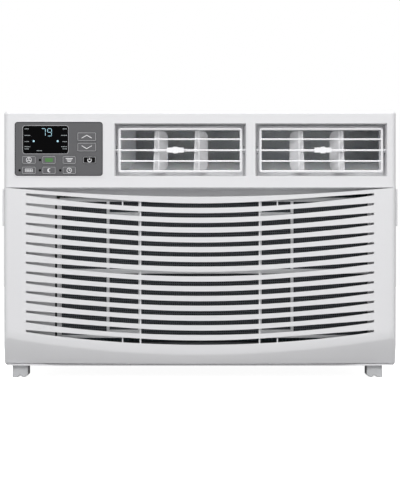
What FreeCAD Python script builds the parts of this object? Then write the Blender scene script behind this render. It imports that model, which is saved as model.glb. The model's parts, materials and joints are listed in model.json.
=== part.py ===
import FreeCAD, Part

import math
import os

# Window air conditioner, in millimetres.
# +X is to the right as seen from the front, -Y is the front, +Z is up.
# The origin is at the middle of the box's bottom, on the ground under the feet.

V = FreeCAD.Vector
X_AXIS = V(1, 0, 0)
Y_AXIS = V(0, 1, 0)
Z_AXIS = V(0, 0, 1)

# ---- driving dimensions ------------------------------------------------------

HALF_WIDTH = 330.0        # moulded front, half of 660
TOP_Z = 449.0             # top of the moulded front
FOOT_HEIGHT = 20.0
FRONT_Y = -335.0          # foremost point of the bowed grille
BACK_Y = 335.0            # rear face of the rear guard
PANEL_Y = -318.0          # flat upper panel
GRILLE_SIDE_Y = -322.0    # grille face at its two ends
PLATE_Y = -292.0          # front of the plate behind the grille
RIM_FRONT_Y = -290.0
RIM_BACK_Y = -248.0
WALL = 3.0                # bezel wall
INTAKE_LEFT_X = -243.0    # opening of the plate; its upper edge follows the top slot
INTAKE_RIGHT_X = 292.0
INTAKE_LOW_Z = 44.0
INTAKE_MID_Z = 299.0
INTAKE_END_Z = 311.0
PANEL_EDGE_Z = 320.5      # straight lower edge of the upper panel
CORNER_R = 8.0            # upright front corners
TOP_EDGE_R = 5.0

# Intake grille
GRILLE_WALL = 2.8
GRILLE_BOTTOM_Z = 24.0
GRILLE_BACK_Y = -293.0
GRILLE_TOP_MID_Z = 304.7
GRILLE_TOP_END_Z = 320.4
GRILLE_LIP_Y = -319.4     # back of the wall at the grille's top edge
SLOT_COUNT = 15
SLOT_PITCH = 16.42
SLOT_TOP_Z = 293.4        # upper edge of the top slot, at the middle
SLOT_HEIGHT = 7.5
SLOT_HALF = 292.5
SLOT_ARC_HALF = 118.0     # half width of the arched part of the upper edge
SLOT_UPPER_R = 1593.0
SLOT_LOWER_R = 2032.0
CHIN_MID_Z = 39.2
CHIN_END_Z = 65.8
CHIN_END_X = 317.0
CHIN_SLOPE = math.tan(math.radians(60))
GRIP_OUT = 2.9
GRIP_Z = (255.5, 320.4)
HINGE_Y = -314.0
HINGE_Z = 29.0
HINGE_X = 120.0
HINGE_PIN_R = 2.5
BEZEL_SCREW_X = (-200.0, 0.0, 200.0)
BEZEL_SCREW_Y = -255.0
RUN_FIT = 0.08            # radial clearance of pins and posts

# Air outlets and louvers
OUTLET_Z = (339.4, 428.5)
OUTLETS = {
    "left": {"opening": (-144.3, 78.0), "centre": -33.25, "turn": -38.0},
    "right": {"opening": (92.9, 315.4), "centre": 204.4, "turn": 38.0},
}
LOUVER_Z = 383.5
LOUVER_HALF_W = 104.25
LOUVER_HALF_H = 37.7
LOUVER_BAR = 3.8
LOUVER_Y = -311.0
TILT_Y = -304.0
THROAT_HALF_W = 107.25
THROAT_HALF_H = 42.5
THROAT_Y = -300.0
COLLAR_BACK_Y = -262.0
COLLAR_WALL = 2.5
EAVE_LOW_Z = 316.0        # underside of the panel, over the grille's top edge
LOUVER_BACK_Y = -287.0
STILE_BACK_Y = -298.0     # the frame's side bars end here, to clear the vanes
CROSS_BARS_Z = (401.9, 383.3, 365.0)
CROSS_BAR = 2.9
POST_Y = -293.0
POST_R = 2.25
POST_OFFSETS = (-36.75, 31.3)
VANE_Z = (350.5, 416.5)
VANE_THICK = 1.6
VANE_FRONT = (13.6, 9.5)    # reach in front of the post, at the bottom and at the top
VANE_REAR = 24.0
VANE_REAR_R = 12.0
CRANK_R = 9.0
CRANK_PIN_R = 1.5

# Key panel
PAD_X = (-312.0, -163.8)
PAD_Z = (339.9, 430.7)
LENS_X = (-298.1, -222.1)
LENS_Z = (377.6, 424.1)
KEYS = {
    "fan_button": (-299.5, -276.6, 360.3, 373.1),
    "energy_button": (-265.4, -243.0, 360.3, 373.1),
    "mode_button": (-231.2, -209.1, 360.3, 373.1),
    "power_button": (-196.7, -175.3, 361.0, 372.4),
    "filter_button": (-299.5, -276.6, 343.1, 355.4),
    "sleep_button": (-265.4, -243.0, 343.1, 355.4),
    "timer_button": (-231.2, -209.1, 343.1, 355.4),
    "up_button": (-206.4, -174.9, 398.7, 413.0),
    "down_button": (-206.4, -174.9, 381.2, 395.5),
}
KEY_GAP = 0.35
PAD_FRONT_Y = PANEL_Y - 0.2
PAD_BACK_Y = PANEL_Y + 1.8
BOARD_Y = -306.0

# Air filter
FILTER_X = (-238.0, 288.0)
FILTER_Z = (66.0, 304.0)
FILTER_SIDE = 3.5         # width of the frame's two sides
FILTER_BOTTOM = 5.0
FILTER_TOP = 7.0
FILTER_BAR_Z = (175.0, 183.0)
FILTER_POST_X = 156.0      # outer uprights, left and right
FILTER_INNER_POST_X = 102.3
FILTER_POST = 5.0
FILTER_CORNER_X = 100.0    # inner end of the short bars beside the uprights
FILTER_CORNER_Z = ((71.0, 80.0), (270.0, 279.0))
FILTER_Y = (-286.5, -281.5)
GUIDE_Y = (-291.5, -278.0)

# Chassis
SHEET = 1.2
CABINET_X = 326.0
CABINET_Z = 445.0
CABINET_Y = (-262.0, 326.0)
PAN_Z = 23.5
PAN_SHEET = 1.5
PAN_LIP = 40.0
BULKHEAD_Y = -105.0
AXIS_X = 10.0             # fan shaft, along Y
AXIS_Z = 190.0
SHAFT_R = 6.35
WHEEL_R = 100.0
WHEEL_BLADES = 28
SCROLL_DEPTH = 103.0
FAN_R = 141.0
FAN_BLADES = 5
SHROUD_R = 146.0
MOTOR_R = 62.0
TUBE_R = 4.8
SIDE_SCREWS = [(y, 50.0) for y in (-200.0, -40.0, 120.0, 280.0)]
RAIL_HOLE_X = 250.0
RAIL_HOLE_Y = -215.0
SILL_HOLE_X = 240.0
SILL_HOLE_Y = (-150.0, -50.0)
DRAIN = (-250.0, 200.0)
DRAIN_R = 8.0
SIDE_VENTS_Y = (150.0, 235.0)
SIDE_VENT_ROWS = 14
TOP_VENTS_X = (-195.0, -65.0, 65.0, 195.0)
TOP_VENT_ROWS = 6
VENT_HEIGHT = 5.0
GUARD_BARS = 27
GUARD_PITCH = 14.0
GLAND_Y = -180.0
GLAND_Z = 95.0

# Coils and refrigerant circuit
EVAPORATOR_COLUMNS = (-261.0, -237.0)
EVAPORATOR_ROWS = [75.0 + 25.0 * i for i in range(10)]
CONDENSER_COLUMNS = (273.0, 293.0)
CONDENSER_ROWS = [50.0 + 32.0 * i for i in range(12)]
LIQUID_X = 314.0
COIL_TOP_Z = EVAPORATOR_ROWS[-1]
CONDENSER_TOP_Z = CONDENSER_ROWS[-1]
COMPRESSOR = V(218, 10, 0)
ACCUMULATOR = (116.0, 10.0)


# ---- helpers -------------------------------------------------------------------

def box(x, y, z):
    """Block between two values along each axis."""
    return Part.makeBox(x[1] - x[0], y[1] - y[0], z[1] - z[0], V(x[0], y[0], z[0]))


def rod(radius, start, end):
    """Round bar between two points."""
    run = end - start
    return Part.makeCylinder(radius, run.Length, start, run)


def ring(outer, inner, start, end):
    return rod(outer, start, end).cut(rod(inner, start, end))


def fuse(shapes):
    return shapes[0].multiFuse(shapes[1:]).removeSplitter()


def prism(points, run):
    """Straight-sided outline swept along a vector."""
    return Part.Face(Part.makePolygon(points + [points[0]])).extrude(run)


def rounded_plate(x, y, z, radius):
    """Plate facing the front, with its four corners rounded."""
    plate = box(x, y, z)
    corners = [e for e in plate.Edges if abs(e.tangentAt(e.FirstParameter).y) > 0.99]
    return plate.makeFillet(radius, corners)


def edges_along_z(shape, x, y):
    """Upright edges of a shape at plus and minus x, and at y."""
    found = []
    for edge in shape.Edges:
        middle = edge.CenterOfMass
        upright = abs(edge.tangentAt(edge.FirstParameter).z) > 0.99
        if upright and abs(abs(middle.x) - x) < 0.1 and abs(middle.y - y) < 0.1:
            found.append(edge)
    return found


def bent_pipe(points, radius, bend):
    """Round pipe along straight runs that are joined by tangent arcs."""
    edges = []
    start = points[0]
    for i in range(1, len(points) - 1):
        before = (points[i - 1] - points[i]).normalize()
        after = (points[i + 1] - points[i]).normalize()
        turn = math.pi - before.getAngle(after)
        reach = bend * math.tan(turn / 2)
        first = points[i] + before * reach
        last = points[i] + after * reach
        inward = (before + after).normalize()
        middle = points[i] + inward * (bend / math.cos(turn / 2) - bend)
        if (first - start).Length > 0.01:
            edges.append(Part.LineSegment(start, first).toShape())
        edges.append(Part.Arc(first, middle, last).toShape())
        start = last
    if (points[-1] - start).Length > 0.01:
        edges.append(Part.LineSegment(start, points[-1]).toShape())
    path = Part.Wire(edges)
    heading = (points[1] - points[0]).normalize()
    circle = Part.Wire(Part.makeCircle(radius, points[0], heading))
    return path.makePipeShell([circle], True, False)


def save(name, shape):
    shape.exportStep("parts/" + name + ".step")


# ---- moulded front -----------------------------------------------------------------

def outlet_throat(side, grow):
    """Tapered mouth and straight collar of one outlet, grown outwards by a wall."""
    opening = OUTLETS[side]["opening"]
    centre = OUTLETS[side]["centre"]
    front_y = PANEL_Y - (0 if grow else 1)
    mouth = Part.makePolygon([
        V(opening[0] - grow, front_y, OUTLET_Z[0] - grow),
        V(opening[1] + grow, front_y, OUTLET_Z[0] - grow),
        V(opening[1] + grow, front_y, OUTLET_Z[1] + grow),
        V(opening[0] - grow, front_y, OUTLET_Z[1] + grow),
        V(opening[0] - grow, front_y, OUTLET_Z[0] - grow),
    ])
    half_w = THROAT_HALF_W + grow
    half_h = THROAT_HALF_H + grow
    neck = Part.makePolygon([
        V(centre - half_w, THROAT_Y, LOUVER_Z - half_h),
        V(centre + half_w, THROAT_Y, LOUVER_Z - half_h),
        V(centre + half_w, THROAT_Y, LOUVER_Z + half_h),
        V(centre - half_w, THROAT_Y, LOUVER_Z + half_h),
        V(centre - half_w, THROAT_Y, LOUVER_Z - half_h),
    ])
    taper = Part.makeLoft([mouth, neck], True, True)
    end_y = COLLAR_BACK_Y + (0 if grow else 1)
    collar = box((centre - half_w, centre + half_w), (THROAT_Y, end_y),
                 (LOUVER_Z - half_h, LOUVER_Z + half_h))
    return taper.fuse(collar)


def crown_edges(shape, z):
    """Edges at one height, without the one that runs along the back."""
    back = shape.BoundBox.YMax
    level = [e for e in shape.Edges if abs(e.BoundBox.ZMin - z) < 0.1
             and abs(e.BoundBox.ZMax - z) < 0.1]
    return [e for e in level if abs(e.CenterOfMass.y - back) > 0.1]


def upper_panel_shell():
    inner = HALF_WIDTH - WALL
    shell = box((-HALF_WIDTH, HALF_WIDTH), (PANEL_Y, RIM_FRONT_Y), (PANEL_EDGE_Z, TOP_Z))
    shell = shell.makeFillet(CORNER_R, edges_along_z(shell, HALF_WIDTH, PANEL_Y))
    shell = shell.makeFillet(TOP_EDGE_R, crown_edges(shell, TOP_Z))
    hollow = box((-inner, inner), (PANEL_Y + WALL, RIM_FRONT_Y + 1),
                 (PANEL_EDGE_Z + WALL, TOP_Z - WALL))
    hollow = hollow.makeFillet(CORNER_R - WALL, edges_along_z(hollow, inner, PANEL_Y + WALL))
    hollow = hollow.makeFillet(TOP_EDGE_R - WALL, crown_edges(hollow, TOP_Z - WALL))
    return shell.cut(hollow)


def rounded_tube(half, y, z, radius):
    """Block along Y with its four long corners rounded."""
    return rounded_plate((-half, half), y, z, radius)


def filter_guide(x_outer, x_groove):
    """Upright channel that the filter's edge slides in."""
    low, high = sorted((x_outer, x_groove))
    bar = box((low, high), GUIDE_Y, (40, 302))
    depth = 2.5 if x_groove > x_outer else -2.5
    low, high = sorted((x_groove - depth, x_groove + depth))
    groove = box((low, high), (-287.0, -280.2), (FILTER_Z[0], 330))
    return bar.cut(groove)


def hinge_ear(x):
    """Ear that rises from the bottom lip to hold one hinge pin of the grille."""
    low = FOOT_HEIGHT
    ear = prism([
        V(x - 3, RIM_FRONT_Y, low),
        V(x - 3, -306, low),
        V(x - 3, HINGE_Y + 2, low + 6),
        V(x - 3, HINGE_Y + 2, low + 11),
        V(x - 3, -303, low + 4),
        V(x - 3, RIM_FRONT_Y, low + 4),
    ], V(6, 0, 0))
    ear = ear.fuse(rod(5, V(x - 3, HINGE_Y, HINGE_Z), V(x + 3, HINGE_Y, HINGE_Z)))
    hole = rod(HINGE_PIN_R + RUN_FIT, V(x - 4, HINGE_Y, HINGE_Z), V(x + 4, HINGE_Y, HINGE_Z))
    return ear.cut(hole)


def front_bezel():
    inner = HALF_WIDTH - WALL
    rim = rounded_tube(HALF_WIDTH, (RIM_FRONT_Y, RIM_BACK_Y), (FOOT_HEIGHT, TOP_Z), TOP_EDGE_R)
    rim = rim.cut(rounded_tube(inner, (RIM_FRONT_Y - 1, RIM_BACK_Y + 1),
                               (FOOT_HEIGHT + WALL, TOP_Z - WALL), TOP_EDGE_R - WALL))
    plate = box((-inner, inner), (PLATE_Y, PLATE_Y + WALL), (FOOT_HEIGHT + 2, 326))
    intake = prism([
        V(INTAKE_LEFT_X, PLATE_Y - 1, INTAKE_LOW_Z),
        V(INTAKE_RIGHT_X, PLATE_Y - 1, INTAKE_LOW_Z),
        V(INTAKE_RIGHT_X, PLATE_Y - 1, INTAKE_END_Z),
        V(SLOT_ARC_HALF, PLATE_Y - 1, INTAKE_MID_Z),
        V(-SLOT_ARC_HALF, PLATE_Y - 1, INTAKE_MID_Z),
        V(INTAKE_LEFT_X, PLATE_Y - 1, INTAKE_END_Z - 3),
    ], V(0, WALL + 2, 0))
    plate = plate.cut(intake)
    lip_half = HALF_WIDTH - TOP_EDGE_R
    lip = box((-lip_half, lip_half), (-306, RIM_FRONT_Y), (FOOT_HEIGHT, FOOT_HEIGHT + WALL))
    eave = prism([
        V(-326.5, PANEL_Y, PANEL_EDGE_Z + 0.5),
        V(-326.5, PANEL_Y, PANEL_EDGE_Z),
        V(-326.5, -310, EAVE_LOW_Z),
        V(-326.5, RIM_FRONT_Y, EAVE_LOW_Z),
        V(-326.5, RIM_FRONT_Y, PANEL_EDGE_Z + 0.5),
    ], V(653, 0, 0))
    solids = [upper_panel_shell(), rim, plate, lip, eave]
    solids.append(filter_guide(-244, -236))
    solids.append(filter_guide(296, 286))
    solids += [hinge_ear(x) for x in (-HINGE_X, HINGE_X)]
    solids += [outlet_throat(side, COLLAR_WALL) for side in OUTLETS]
    border = rounded_plate((PAD_X[0] - 1.6, PAD_X[1] + 1.6), (PANEL_Y - 0.6, PANEL_Y + 1),
                           (PAD_Z[0] - 1.6, PAD_Z[1] + 1.6), 6.5)
    solids.append(border)
    bezel = fuse(solids)
    for side in OUTLETS:
        bezel = bezel.cut(outlet_throat(side, 0))
        centre = OUTLETS[side]["centre"]
        bezel = bezel.cut(rod(HINGE_PIN_R + RUN_FIT, V(centre - 113, TILT_Y, LOUVER_Z),
                              V(centre + 113, TILT_Y, LOUVER_Z)))
    pocket = rounded_plate((PAD_X[0] - 0.15, PAD_X[1] + 0.15), (PANEL_Y - 2, PAD_BACK_Y),
                           (PAD_Z[0] - 0.15, PAD_Z[1] + 0.15), 5.15)
    window = box((PAD_X[0] + 2.3, PAD_X[1] - 2.3), (PANEL_Y - 2, PANEL_Y + 5),
                 (PAD_Z[0] + 2.3, PAD_Z[1] - 2.3))
    bezel = bezel.cut(pocket).cut(window)
    for x in BEZEL_SCREW_X:
        bezel = bezel.cut(rod(2.2, V(x, BEZEL_SCREW_Y, 18), V(x, BEZEL_SCREW_Y, 24)))
    return bezel.removeSplitter()


def bezel_screws():
    screws = []
    for x in BEZEL_SCREW_X:
        head = rod(4.0, V(x, BEZEL_SCREW_Y, 17.8), V(x, BEZEL_SCREW_Y, 20))
        shank = rod(1.8, V(x, BEZEL_SCREW_Y, 19), V(x, BEZEL_SCREW_Y, 26.5))
        screws.append(head.fuse(shank))
    return Part.makeCompound(screws)


def front_feet():
    feet = []
    for middle, inward in ((-304.0, 1), (295.0, -1)):
        foot = box((middle - 13, middle + 13), (-300, -241), (0, FOOT_HEIGHT))
        edge = middle + inward * 13
        foot = foot.cut(prism([V(edge - inward * 5, -301, -0.1), V(edge + inward, -301, -0.1),
                               V(edge + inward, -301, 5)], V(0, 61, 0)))
        foot = foot.cut(prism([V(middle - 4, -301, -0.1), V(middle + 4, -301, -0.1),
                               V(middle, -301, 4)], V(0, 61, 0)))
        feet.append(foot)
    return Part.makeCompound(feet)


def rear_feet():
    feet = [box((x - 13, x + 13), (231, 290), (0, PAN_Z)) for x in (-300, 300)]
    return Part.makeCompound(feet)


# ---- intake grille -----------------------------------------------------------------

def bowed_block(half, shift, z):
    """Block whose front face bows forwards, with its upright front corners rounded."""
    left = V(-half, GRILLE_SIDE_Y + shift, z[0])
    middle = V(0, FRONT_Y + shift, z[0])
    right = V(half, GRILLE_SIDE_Y + shift, z[0])
    back_right = V(half, GRILLE_BACK_Y + shift, z[0])
    back_left = V(-half, GRILLE_BACK_Y + shift, z[0])
    outline = Part.Wire([
        Part.Arc(left, middle, right).toShape(),
        Part.LineSegment(right, back_right).toShape(),
        Part.LineSegment(back_right, back_left).toShape(),
        Part.LineSegment(back_left, left).toShape(),
    ])
    block = Part.Face(outline).extrude(V(0, 0, z[1] - z[0]))
    radius = CORNER_R - shift
    return block.makeFillet(radius, edges_along_z(block, half, GRILLE_SIDE_Y + shift))


def above_top_edge(drop):
    """Everything above the grille's dipped top edge, lowered by a wall."""
    left = V(-HALF_WIDTH - 10, -350, GRILLE_TOP_END_Z + 1 - drop)
    middle = V(0, -350, GRILLE_TOP_MID_Z - drop)
    right = V(HALF_WIDTH + 10, -350, GRILLE_TOP_END_Z + 1 - drop)
    corners = [V(HALF_WIDTH + 10, -350, 400), V(-HALF_WIDTH - 10, -350, 400)]
    outline = Part.Wire([
        Part.Arc(left, middle, right).toShape(),
        Part.LineSegment(right, corners[0]).toShape(),
        Part.LineSegment(corners[0], corners[1]).toShape(),
        Part.LineSegment(corners[1], left).toShape(),
    ])
    return Part.Face(outline).extrude(V(0, 80, 0))


def below_chin(shift):
    """Everything below the chin, whose surface runs down and back from a dipped edge."""
    start_y = FRONT_Y - 10
    half = HALF_WIDTH + 10
    bow = (GRILLE_SIDE_Y - FRONT_Y) * (CHIN_END_X / HALF_WIDTH) ** 2
    rise = CHIN_END_Z - CHIN_MID_Z + bow * CHIN_SLOPE
    middle_z = CHIN_MID_Z + 10 * CHIN_SLOPE
    end_z = middle_z + rise * (half / CHIN_END_X) ** 2
    left = V(-half, start_y + shift, end_z)
    right = V(half, start_y + shift, end_z)
    low = [V(half, start_y + shift, -200), V(-half, start_y + shift, -200)]
    outline = Part.Wire([
        Part.Arc(left, V(0, start_y + shift, middle_z), right).toShape(),
        Part.LineSegment(right, low[0]).toShape(),
        Part.LineSegment(low[0], low[1]).toShape(),
        Part.LineSegment(low[1], left).toShape(),
    ])
    return Part.Face(outline).extrude(V(0, 80, -80 * CHIN_SLOPE))


def slot_cutter():
    """Top slot: an arched upper edge with straight ends, over a flatter arched lower edge."""
    y = FRONT_Y - 10
    rise = SLOT_UPPER_R - math.sqrt(SLOT_UPPER_R ** 2 - SLOT_ARC_HALF ** 2)
    slope = SLOT_ARC_HALF / SLOT_UPPER_R
    tip_z = SLOT_TOP_Z + rise + slope * (SLOT_HALF - SLOT_ARC_HALF)
    low_z = SLOT_TOP_Z - SLOT_HEIGHT
    low_tip_z = low_z + SLOT_LOWER_R - math.sqrt(SLOT_LOWER_R ** 2 - SLOT_HALF ** 2)
    shoulders = [V(-SLOT_ARC_HALF, y, SLOT_TOP_Z + rise), V(SLOT_ARC_HALF, y, SLOT_TOP_Z + rise)]
    tips = [V(-SLOT_HALF, y, tip_z), V(SLOT_HALF, y, tip_z)]
    low_tips = [V(-SLOT_HALF, y, low_tip_z), V(SLOT_HALF, y, low_tip_z)]
    outline = Part.Wire([
        Part.LineSegment(tips[0], shoulders[0]).toShape(),
        Part.Arc(shoulders[0], V(0, y, SLOT_TOP_Z), shoulders[1]).toShape(),
        Part.LineSegment(shoulders[1], tips[1]).toShape(),
        Part.LineSegment(tips[1], low_tips[1]).toShape(),
        Part.Arc(low_tips[1], V(0, y, low_z), low_tips[0]).toShape(),
        Part.LineSegment(low_tips[0], tips[0]).toShape(),
    ])
    return Part.Face(outline).extrude(V(0, 40, 0))


def hinge_cheek(x):
    """Cheek between the chin and the hinge pin."""
    barrel = rod(5, V(x - 1.5, HINGE_Y, HINGE_Z), V(x + 1.5, HINGE_Y, HINGE_Z))
    web = box((x - 1.5, x + 1.5), (HINGE_Y - 9, HINGE_Y), (HINGE_Z - 4, HINGE_Z + 5))
    return barrel.fuse(web)


def intake_grille():
    outer = bowed_block(HALF_WIDTH, 0, (GRILLE_BOTTOM_Z, 330))
    outer = outer.cut(above_top_edge(0)).cut(below_chin(0))
    inner_half = HALF_WIDTH - GRILLE_WALL
    hollow = bowed_block(inner_half, GRILLE_WALL, (GRILLE_BOTTOM_Z - 1, 340))
    behind_lip = box((-inner_half, inner_half), (GRILLE_LIP_Y, -280), (GRILLE_BOTTOM_Z - 1, 340))
    hollow = hollow.cut(above_top_edge(GRILLE_WALL)).fuse(behind_lip)
    hollow = hollow.cut(below_chin(GRILLE_WALL + 0.4))
    shell = outer.cut(hollow)
    cutter = slot_cutter()
    slots = []
    for i in range(SLOT_COUNT):
        slot = cutter.copy()
        slot.translate(V(0, 0, -SLOT_PITCH * i))
        slots.append(slot)
    shell = shell.cut(Part.makeCompound(slots))
    pieces = [shell]
    bottom_slot_z = SLOT_TOP_Z - SLOT_PITCH * (SLOT_COUNT - 1) - SLOT_HEIGHT
    for side in (-1, 1):
        x = side * 100
        pieces.append(box((x - 1, x + 1), (-333, -322), (bottom_slot_z - 4, SLOT_TOP_Z + 8)))
        x = side * 130
        for z in (SLOT_TOP_Z, bottom_slot_z + SLOT_HEIGHT):
            pieces.append(box((x - 1, x + 1), (-332, -322), (z - 9, z + 8)))
        grip_x = sorted((side * (HALF_WIDTH - 2), side * (HALF_WIDTH + GRIP_OUT)))
        pieces.append(box(grip_x, (GRILLE_SIDE_Y + 8, -300), GRIP_Z))
        x = side * HINGE_X
        pieces += [hinge_cheek(x - 8.5), hinge_cheek(x + 8.5)]
        pieces.append(rod(HINGE_PIN_R, V(x - 8, HINGE_Y, HINGE_Z), V(x + 8, HINGE_Y, HINGE_Z)))
    # The side flanges are lower behind the face, so that they pass under the panel as it opens.
    swing_room = box((-HALF_WIDTH - 5, HALF_WIDTH + 5), (PANEL_Y + 0.5, -280), (318.3, 340))
    return fuse(pieces).cut(swing_room)


# ---- key panel ---------------------------------------------------------------------

def control_overlay():
    plate = rounded_plate(PAD_X, (PAD_FRONT_Y, PAD_BACK_Y), PAD_Z, 5)
    through = (PANEL_Y - 5, PANEL_Y + 5)
    plate = plate.cut(rounded_plate((LENS_X[0] - 0.1, LENS_X[1] + 0.1), through,
                                    (LENS_Z[0] - 0.1, LENS_Z[1] + 0.1), 4.1))
    for x0, x1, z0, z1 in KEYS.values():
        plate = plate.cut(rounded_plate((x0 - KEY_GAP, x1 + KEY_GAP), through,
                                        (z0 - KEY_GAP, z1 + KEY_GAP), 2.3))
    return plate


def display_lens():
    return rounded_plate(LENS_X, (PAD_FRONT_Y - 0.2, PAD_BACK_Y), LENS_Z, 4)


def button(name):
    x0, x1, z0, z1 = KEYS[name]
    cap = rounded_plate((x0, x1), (PAD_FRONT_Y - 0.5, -314.0), (z0, z1), 2)
    middle_x = (x0 + x1) / 2
    middle_z = (z0 + z1) / 2
    stem = box((middle_x - 2, middle_x + 2), (-315, -311.4), (middle_z - 2, middle_z + 2))
    return cap.fuse(stem)


def control_board():
    board = box((-308, -168), (BOARD_Y, BOARD_Y + 1.6), (343, 428))
    blocks = [board, box((-296, -224), (-315.5, BOARD_Y + 0.5), (380, 422))]
    for x0, x1, z0, z1 in KEYS.values():
        middle_x = (x0 + x1) / 2
        middle_z = (z0 + z1) / 2
        blocks.append(box((middle_x - 3, middle_x + 3), (-310.5, BOARD_Y + 0.5),
                          (middle_z - 3, middle_z + 3)))
    return fuse(blocks)


# ---- louvers and vanes ---------------------------------------------------------------

def louver_frame(side):
    centre = OUTLETS[side]["centre"]
    x = (centre - LOUVER_HALF_W, centre + LOUVER_HALF_W)
    z = (LOUVER_Z - LOUVER_HALF_H, LOUVER_Z + LOUVER_HALF_H)
    inner_x = (x[0] + LOUVER_BAR, x[1] - LOUVER_BAR)
    inner_z = (z[0] + LOUVER_BAR, z[1] - LOUVER_BAR)
    frame = rounded_plate(x, (LOUVER_Y, LOUVER_BACK_Y), z, 4.5)
    frame = frame.cut(box(inner_x, (LOUVER_Y - 1, LOUVER_BACK_Y + 1), inner_z))
    frame = frame.cut(box((x[0] - 1, x[1] + 1), (STILE_BACK_Y, LOUVER_BACK_Y + 1), inner_z))
    pieces = [frame]
    for bar_z in CROSS_BARS_Z:
        pieces.append(box((inner_x[0] - 1, inner_x[1] + 1), (LOUVER_Y, LOUVER_Y + 4),
                          (bar_z - CROSS_BAR / 2, bar_z + CROSS_BAR / 2)))
    for end, out in ((x[0], -5.2), (x[1], 5.2)):
        pieces.append(rod(HINGE_PIN_R, V(end - out / 3, TILT_Y, LOUVER_Z),
                          V(end + out, TILT_Y, LOUVER_Z)))
    frame = fuse(pieces)
    for offset in POST_OFFSETS:
        post_x = centre + offset
        for low in (inner_z[0] - 3, inner_z[1]):
            frame = frame.cut(rod(CRANK_PIN_R + RUN_FIT, V(post_x, POST_Y, low),
                                  V(post_x, POST_Y, low + 3)))
    return frame


def vane(side, offset):
    """Upright vane on its post, with the notch and pin that the link bar holds."""
    half = VANE_THICK / 2
    blade = prism([
        V(-half, -VANE_FRONT[0], VANE_Z[0]),
        V(-half, VANE_REAR, VANE_Z[0]),
        V(-half, VANE_REAR, VANE_Z[1]),
        V(-half, -VANE_FRONT[1], VANE_Z[1]),
    ], V(VANE_THICK, 0, 0))
    rear = [e for e in blade.Edges if abs(e.CenterOfMass.y - VANE_REAR) < 0.1
            and abs(e.tangentAt(e.FirstParameter).x) > 0.99]
    blade = blade.makeFillet(VANE_REAR_R, rear)
    post = rod(POST_R, V(0, 0, 350.1), V(0, 0, 416.9))
    pin = rod(CRANK_PIN_R, V(0, 0, 347.2), V(0, 0, 419.8))
    body = fuse([blade, post, pin])
    body = body.cut(box((-3, 3), (-15, -5.5), (379, 388)))
    body = body.fuse(rod(CRANK_PIN_R, V(0, -CRANK_R, 378), V(0, -CRANK_R, 389)))
    body.rotate(V(0, 0, 0), Z_AXIS, OUTLETS[side]["turn"])
    body.translate(V(OUTLETS[side]["centre"] + offset, POST_Y, 0))
    return body


def vane_link(side):
    """Bar joining the two vanes' crank pins, with the finger tab in front of the frame."""
    turn = math.radians(OUTLETS[side]["turn"])
    shift = CRANK_R * math.sin(turn)
    y = POST_Y - CRANK_R * math.cos(turn)
    x1, x2 = [OUTLETS[side]["centre"] + offset + shift for offset in POST_OFFSETS]
    middle = (x1 + x2) / 2
    pieces = [box((x1, x2), (y - 1, y + 1), (381.5, 385.5))]
    for x in (x1, x2):
        pieces.append(rod(3.2, V(x, y, 380.5), V(x, y, 386.5)))
    pieces.append(box((middle - 5, middle + 5), (y - 1, y + 1), (378.8, 387.8)))
    for z in ((385.4, 387.8), (378.8, 381.2)):
        pieces.append(box((middle - 5, middle + 5), (-313, y), z))
    pieces.append(rounded_plate((middle - 15, middle + 15), (-314.8, -312.6),
                                (379.2, 387.8), 2))
    pieces.append(rounded_plate((middle - 4, middle + 4), (-315.8, -314), (377.8, 389.2), 1.5))
    link = fuse(pieces)
    link = link.cut(rod(CRANK_PIN_R + RUN_FIT, V(x1, y, 378), V(x1, y, 390)))
    return link.cut(rod(CRANK_PIN_R + 0.4, V(x2, y, 378), V(x2, y, 390)))


# ---- air filter ----------------------------------------------------------------------

def filter_frame():
    x0, x1 = FILTER_X
    z0, z1 = FILTER_Z
    inner_x = (x0 + FILTER_SIDE, x1 - FILTER_SIDE)
    inner_z = (z0 + FILTER_BOTTOM, z1 - FILTER_TOP)
    frame = box(FILTER_X, FILTER_Y, FILTER_Z)
    frame = frame.cut(box(inner_x, (FILTER_Y[0] - 1, FILTER_Y[1] + 1), inner_z))
    bars = [frame, box((x0 + 1, x1 - 1), FILTER_Y, FILTER_BAR_Z)]
    for side in (-1, 1):
        for reach in (FILTER_INNER_POST_X, FILTER_POST_X):
            post = side * reach
            bars.append(box((post - FILTER_POST / 2, post + FILTER_POST / 2), FILTER_Y,
                            (z0 + 1, z1 - 1)))
        for corner_z in FILTER_CORNER_Z:
            corner_x = sorted((side * FILTER_POST_X, side * FILTER_CORNER_X))
            bars.append(box(corner_x, FILTER_Y, corner_z))
    return fuse(bars)


def filter_mesh():
    margin = FILTER_SIDE - 1
    return box((FILTER_X[0] + margin, FILTER_X[1] - margin), (FILTER_Y[1], FILTER_Y[1] + 0.8),
               (FILTER_Z[0] + margin, FILTER_Z[1] - margin))


def thermistor():
    bulb = rod(2.4, V(-236, -275, 292), V(-212, -275, 292))
    clip = box((-229, -223), (-278, -272.2), (288.5, 290))
    wire = rod(1.0, V(-212.5, -275, 292), V(-190, -275, 292))
    return fuse([bulb, box((-229, -223), (-276, -272.2), (289, 291)), clip, wire])


# ---- coils -----------------------------------------------------------------------------

def coil_points(half_x, left_x, columns, rows):
    """Turning points of one coil's tube, starting and ending at its right-hand end."""
    points = []
    for n, y in enumerate(columns):
        levels = rows if n % 2 else rows[::-1]
        for i, z in enumerate(levels):
            ends = (half_x, left_x) if i % 2 == 0 else (left_x, half_x)
            points += [V(ends[0], y, z), V(ends[1], y, z)]
    return points


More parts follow.
